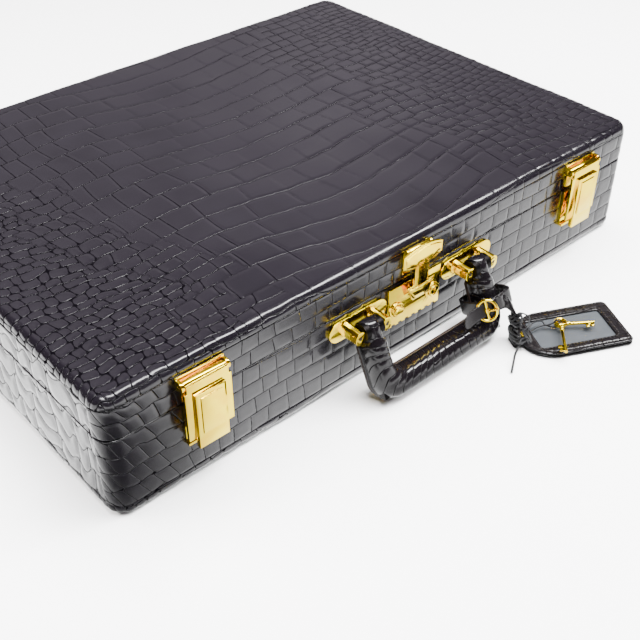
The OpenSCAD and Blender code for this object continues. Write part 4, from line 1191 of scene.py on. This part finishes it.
def make_pad():
    """The quilted pad in the lid: crowned squares pulled in at each tuft, with a button there."""
    low, high = box_mm("lid_pad")
    pitch = 50.0
    x, y = np.meshgrid(np.linspace(low[0], high[0], 150), np.linspace(low[1], high[1], 110), indexing="ij")
    a, b = (x + y) / pitch, (x - y) / pitch
    from_a, from_b = np.abs(a - np.round(a)), np.abs(b - np.round(b))
    edge = np.minimum(np.minimum(x - low[0], high[0] - x), np.minimum(y - low[1], high[1] - y))
    crown = 6.0 * np.sqrt(np.clip(np.minimum(from_a, from_b) / 0.5, 0, 1))
    crown = crown - 2.2 * np.exp(-(np.hypot(from_a, from_b) / 0.07) ** 2)
    rounded = 7.0 * (1 - np.sqrt(np.clip(1 - (1 - np.clip(edge / 9, 0, 1)) ** 2, 0, 1)))
    face = np.stack([x, y, low[2] + 5.5 - crown * smooth(edge, 0, 12) + rounded], -1).reshape(-1, 3)
    rim = border(*x.shape)
    back = face[rim] * [1, 1, 0] + [0, 0, high[2]]
    ring = x.size + np.arange(len(rim))
    faces = grid_faces(*x.shape).tolist() + wall_faces(rim, ring) + [ring]
    piece = new_piece("lid_pad_quilted", np.concatenate([face, back]), faces, VELVET)
    show(piece, "lid", "lid_pad")

    buttons = []
    for i in range(-6, 7):
        for j in range(-6, 7):
            px, py = (i + j) * pitch / 2, (i - j) * pitch / 2
            if low[0] + 16 < px < high[0] - 16 and low[1] + 16 < py < high[1] - 16:
                buttons.append(bar_shape((px, py, low[2] + 6.2), (px, py, low[2] + 8.5), 3.4, 3.4))
    show(new_piece("lid_pad_buttons", *joined(buttons), VELVET), "lid")


PIPS = {1: [(0, 0)], 3: [(-1, -1), (0, 0), (1, 1)], 5: [(-1, -1), (-1, 1), (0, 0), (1, -1), (1, 1)]}


def make_pips():
    """The pips on the dice's upper faces."""
    low, high = box_mm("dice")
    side = high[1] - low[1]
    step = (high[0] - low[0] - side) / 4
    parts = []
    for k in range(5):
        middle = np.array([low[0] + side / 2 + k * step, (low[1] + high[1]) / 2, high[2]])
        for x, y in PIPS[(k * 2) % 6 + 1]:
            at = middle + [x * side * 0.26, y * side * 0.26, 0]
            parts.append(bar_shape(at - [0, 0, 0.5], at + [0, 0, 0.06], 1.45, 1.3))
    show(new_piece("dice_pips", *joined(parts), PIP), "base")


make_pad()
make_pips()

CHIP_LOOKS = {
    "chips_white": ((0.46, 0.45, 0.42), (0.03, 0.05, 0.20)),
    "chips_red": ((0.22, 0.006, 0.008), (0.48, 0.46, 0.42)),
    "chips_green": ((0.004, 0.075, 0.030), (0.48, 0.46, 0.42)),
    "chips_black": ((0.006, 0.006, 0.007), (0.45, 0.34, 0.14)),
}
LOOKS = [
    (WOOD, ["base_frame", "base_bottom_board", "lid_frame", "lid_top_board"]),
    (VELVET, ["base_lining", "lid_lining", "rack_left", "rack_right", "centre_tray"]),
    (SMOOTH_LEATHER, ["base_lip"]),
    (GILT, ["tag_buckle", "tag_rivet"]),
    (PIN_GILT, ["hinge_pins", "latch_pins", "hasp_pin", "handle_pins", "tag_prong"]),
    (STEEL, ["lock_body", "stay_tracks", "stay_arms", "stay_anchors"]),
    (DARK_METAL, ["handle_screws"]),
    (BLACK_STEEL, ["handle_core"]),
    (SLIDER, ["stay_sliders"]),
    (CARD, ["tag_card"]),
]
LOOKS += [(chip_material(node + "_clay", tint, spot), [node]) for node, (tint, spot) in CHIP_LOOKS.items()]
for material, nodes in LOOKS:
    for node in nodes:
        shown = frame["nodes"][node].data
        shown.materials.clear()
        shown.materials.append(material)


# ---- studio ----

def floor_material():
    """A pale floor. Glossy rays see a painted reflection instead: a glow, with painted shade near the front left
    corner and before the handle.
    """
    n = Nodes("studio_floor")
    n.set(Base_Color=n.mix(n.noise(3, 2), (0.88, 0.88, 0.885), (0.92, 0.92, 0.925)), Roughness=0.28,
          Specular_IOR_Level=0.35)
    x, y, _ = n.split(n.place())

    def painted_shade_round(at_x, at_y, inner, outer, shade):
        """The share of the painted reflection kept round a place, as painted shade: shade within inner, all of it
        beyond outer.
        """
        return n.ramp(n.length(n.minus(x, at_x), n.minus(y, at_y)), inner, outer, shade, 1.0)

    # painted shade in the floor's reflection, near the front left corner and before the handle
    corner = painted_shade_round(-0.235, -0.220, 0.03, 0.125, 0.05)
    handle = painted_shade_round(-0.005, -0.235, 0.02, 0.09, 0.35)
    level = n.ramp(y, -0.16, -0.05, 3.9, 5.6)
    # the floor glows for glossy rays only: a painted reflection, stronger towards the back
    painted_reflection = n.add("Emission", Strength=n.times(n.times(corner, handle), level))
    swap = n.add("MixShader")
    n.feed(swap.inputs[0], n.add("LightPath").outputs["Is Glossy Ray"])
    n.feed(swap.inputs[1], n.shader.outputs[0])
    n.feed(swap.inputs[2], painted_reflection.outputs[0])
    n.feed(n.tree.nodes["Material Output"].inputs["Surface"], swap.outputs[0])
    return n.owner


def make_floor():
    """A flat square, just clear of the underside's relief."""
    half = 6.0
    z = -0.35 * MM
    corners = [(-half, -half, z), (half, -half, z), (half, half, z), (-half, half, z)]
    mesh = bpy.data.meshes.new("floor")
    mesh.from_pydata(corners, [], [(0, 1, 2, 3)])
    mesh.materials.append(floor_material())
    add_object("floor", mesh)


def make_world():
    """A dark room, uneven and brighter behind the case at half height, with a lit patch overhead."""
    n = Nodes("studio", "worlds", "Background")
    ray = n.add("TexCoord").outputs["Generated"]

    def towards(direction, low, high):
        """Rises from 0 to 1 as a ray turns towards a direction; low and high are cosines."""
        dot = n.add("VectorMath", operation="DOT_PRODUCT", Vector=ray)
        dot.inputs[1].default_value = Vector(direction).normalized()
        return n.ramp(dot.outputs["Value"], low, high)

    uneven = n.ramp(n.noise(3.2, 3, ray), 0.35, 0.65, 0.55, 1.65, shape="LINEAR")
    wall = n.add("VectorMath", operation="SCALE", Vector=(0.68, 0.63, 0.68), Scale=uneven)
    room = n.mix(towards((0.40, 0.62, 0.67), 0.74, 1.0), (0.085, 0.07, 0.07), wall.outputs[0])
    lit = n.mix(towards((0.10, -0.18, 0.98), 0.90, 0.97), room, (2.6, 2.6, 2.7))
    n.feed(n.shader.inputs["Color"], lit)
    bpy.context.scene.world = n.owner


def softbox(name, place, aim, size, watts, tint=(1, 1, 1), mirrored_in_gloss=False):
    """A rectangular light that faces a point."""
    data = bpy.data.lights.new(name, "AREA")
    data.shape = "RECTANGLE"
    data.size, data.size_y = size
    data.energy = watts
    data.color = tint
    lamp = add_object(name, data)
    lamp.visible_glossy = mirrored_in_gloss
    lamp.location = place
    lamp.rotation_mode = "QUATERNION"
    lamp.rotation_quaternion = (Vector(aim) - Vector(place)).to_track_quat("-Z", "Y")


def make_camera():
    """The camera stands at the viewer's left, a little above."""
    data = bpy.data.cameras.new("camera")
    data.lens = 56.0
    data.sensor_width = 36.0
    data.clip_start, data.clip_end = 0.01, 30
    camera = add_object("camera", data)
    camera.location = (-0.3783, -0.503, 0.424)
    azimuth, elevation, roll = (math.radians(a) for a in (-41.61, 38.54, -0.18))
    back = Vector((math.sin(azimuth) * math.cos(elevation), -math.cos(azimuth) * math.cos(elevation),
                   math.sin(elevation)))
    camera.rotation_mode = "QUATERNION"
    camera.rotation_quaternion = (-back).to_track_quat("-Z", "Y") @ Quaternion((0, 0, 1), roll)
    bpy.context.scene.camera = camera


make_floor()
make_world()
softbox("overhead", (0.3, 0.2, 1.7), (0, 0, 0), (1.6, 1.2), 140)
softbox("left_floor", (-0.85, 0.45, 0.6), (-0.65, 0.35, 0), (0.6, 0.6), 40, (1.0, 0.97, 0.95))
softbox("right_floor", (0.75, -0.75, 0.8), (0.5, -0.5, 0), (0.8, 0.5), 30)
softbox("edge_strip", (0.35, -0.48, 1.2), (0.35, -0.15, 0.08), (1.8, 0.28), 85, mirrored_in_gloss=True)
make_camera()
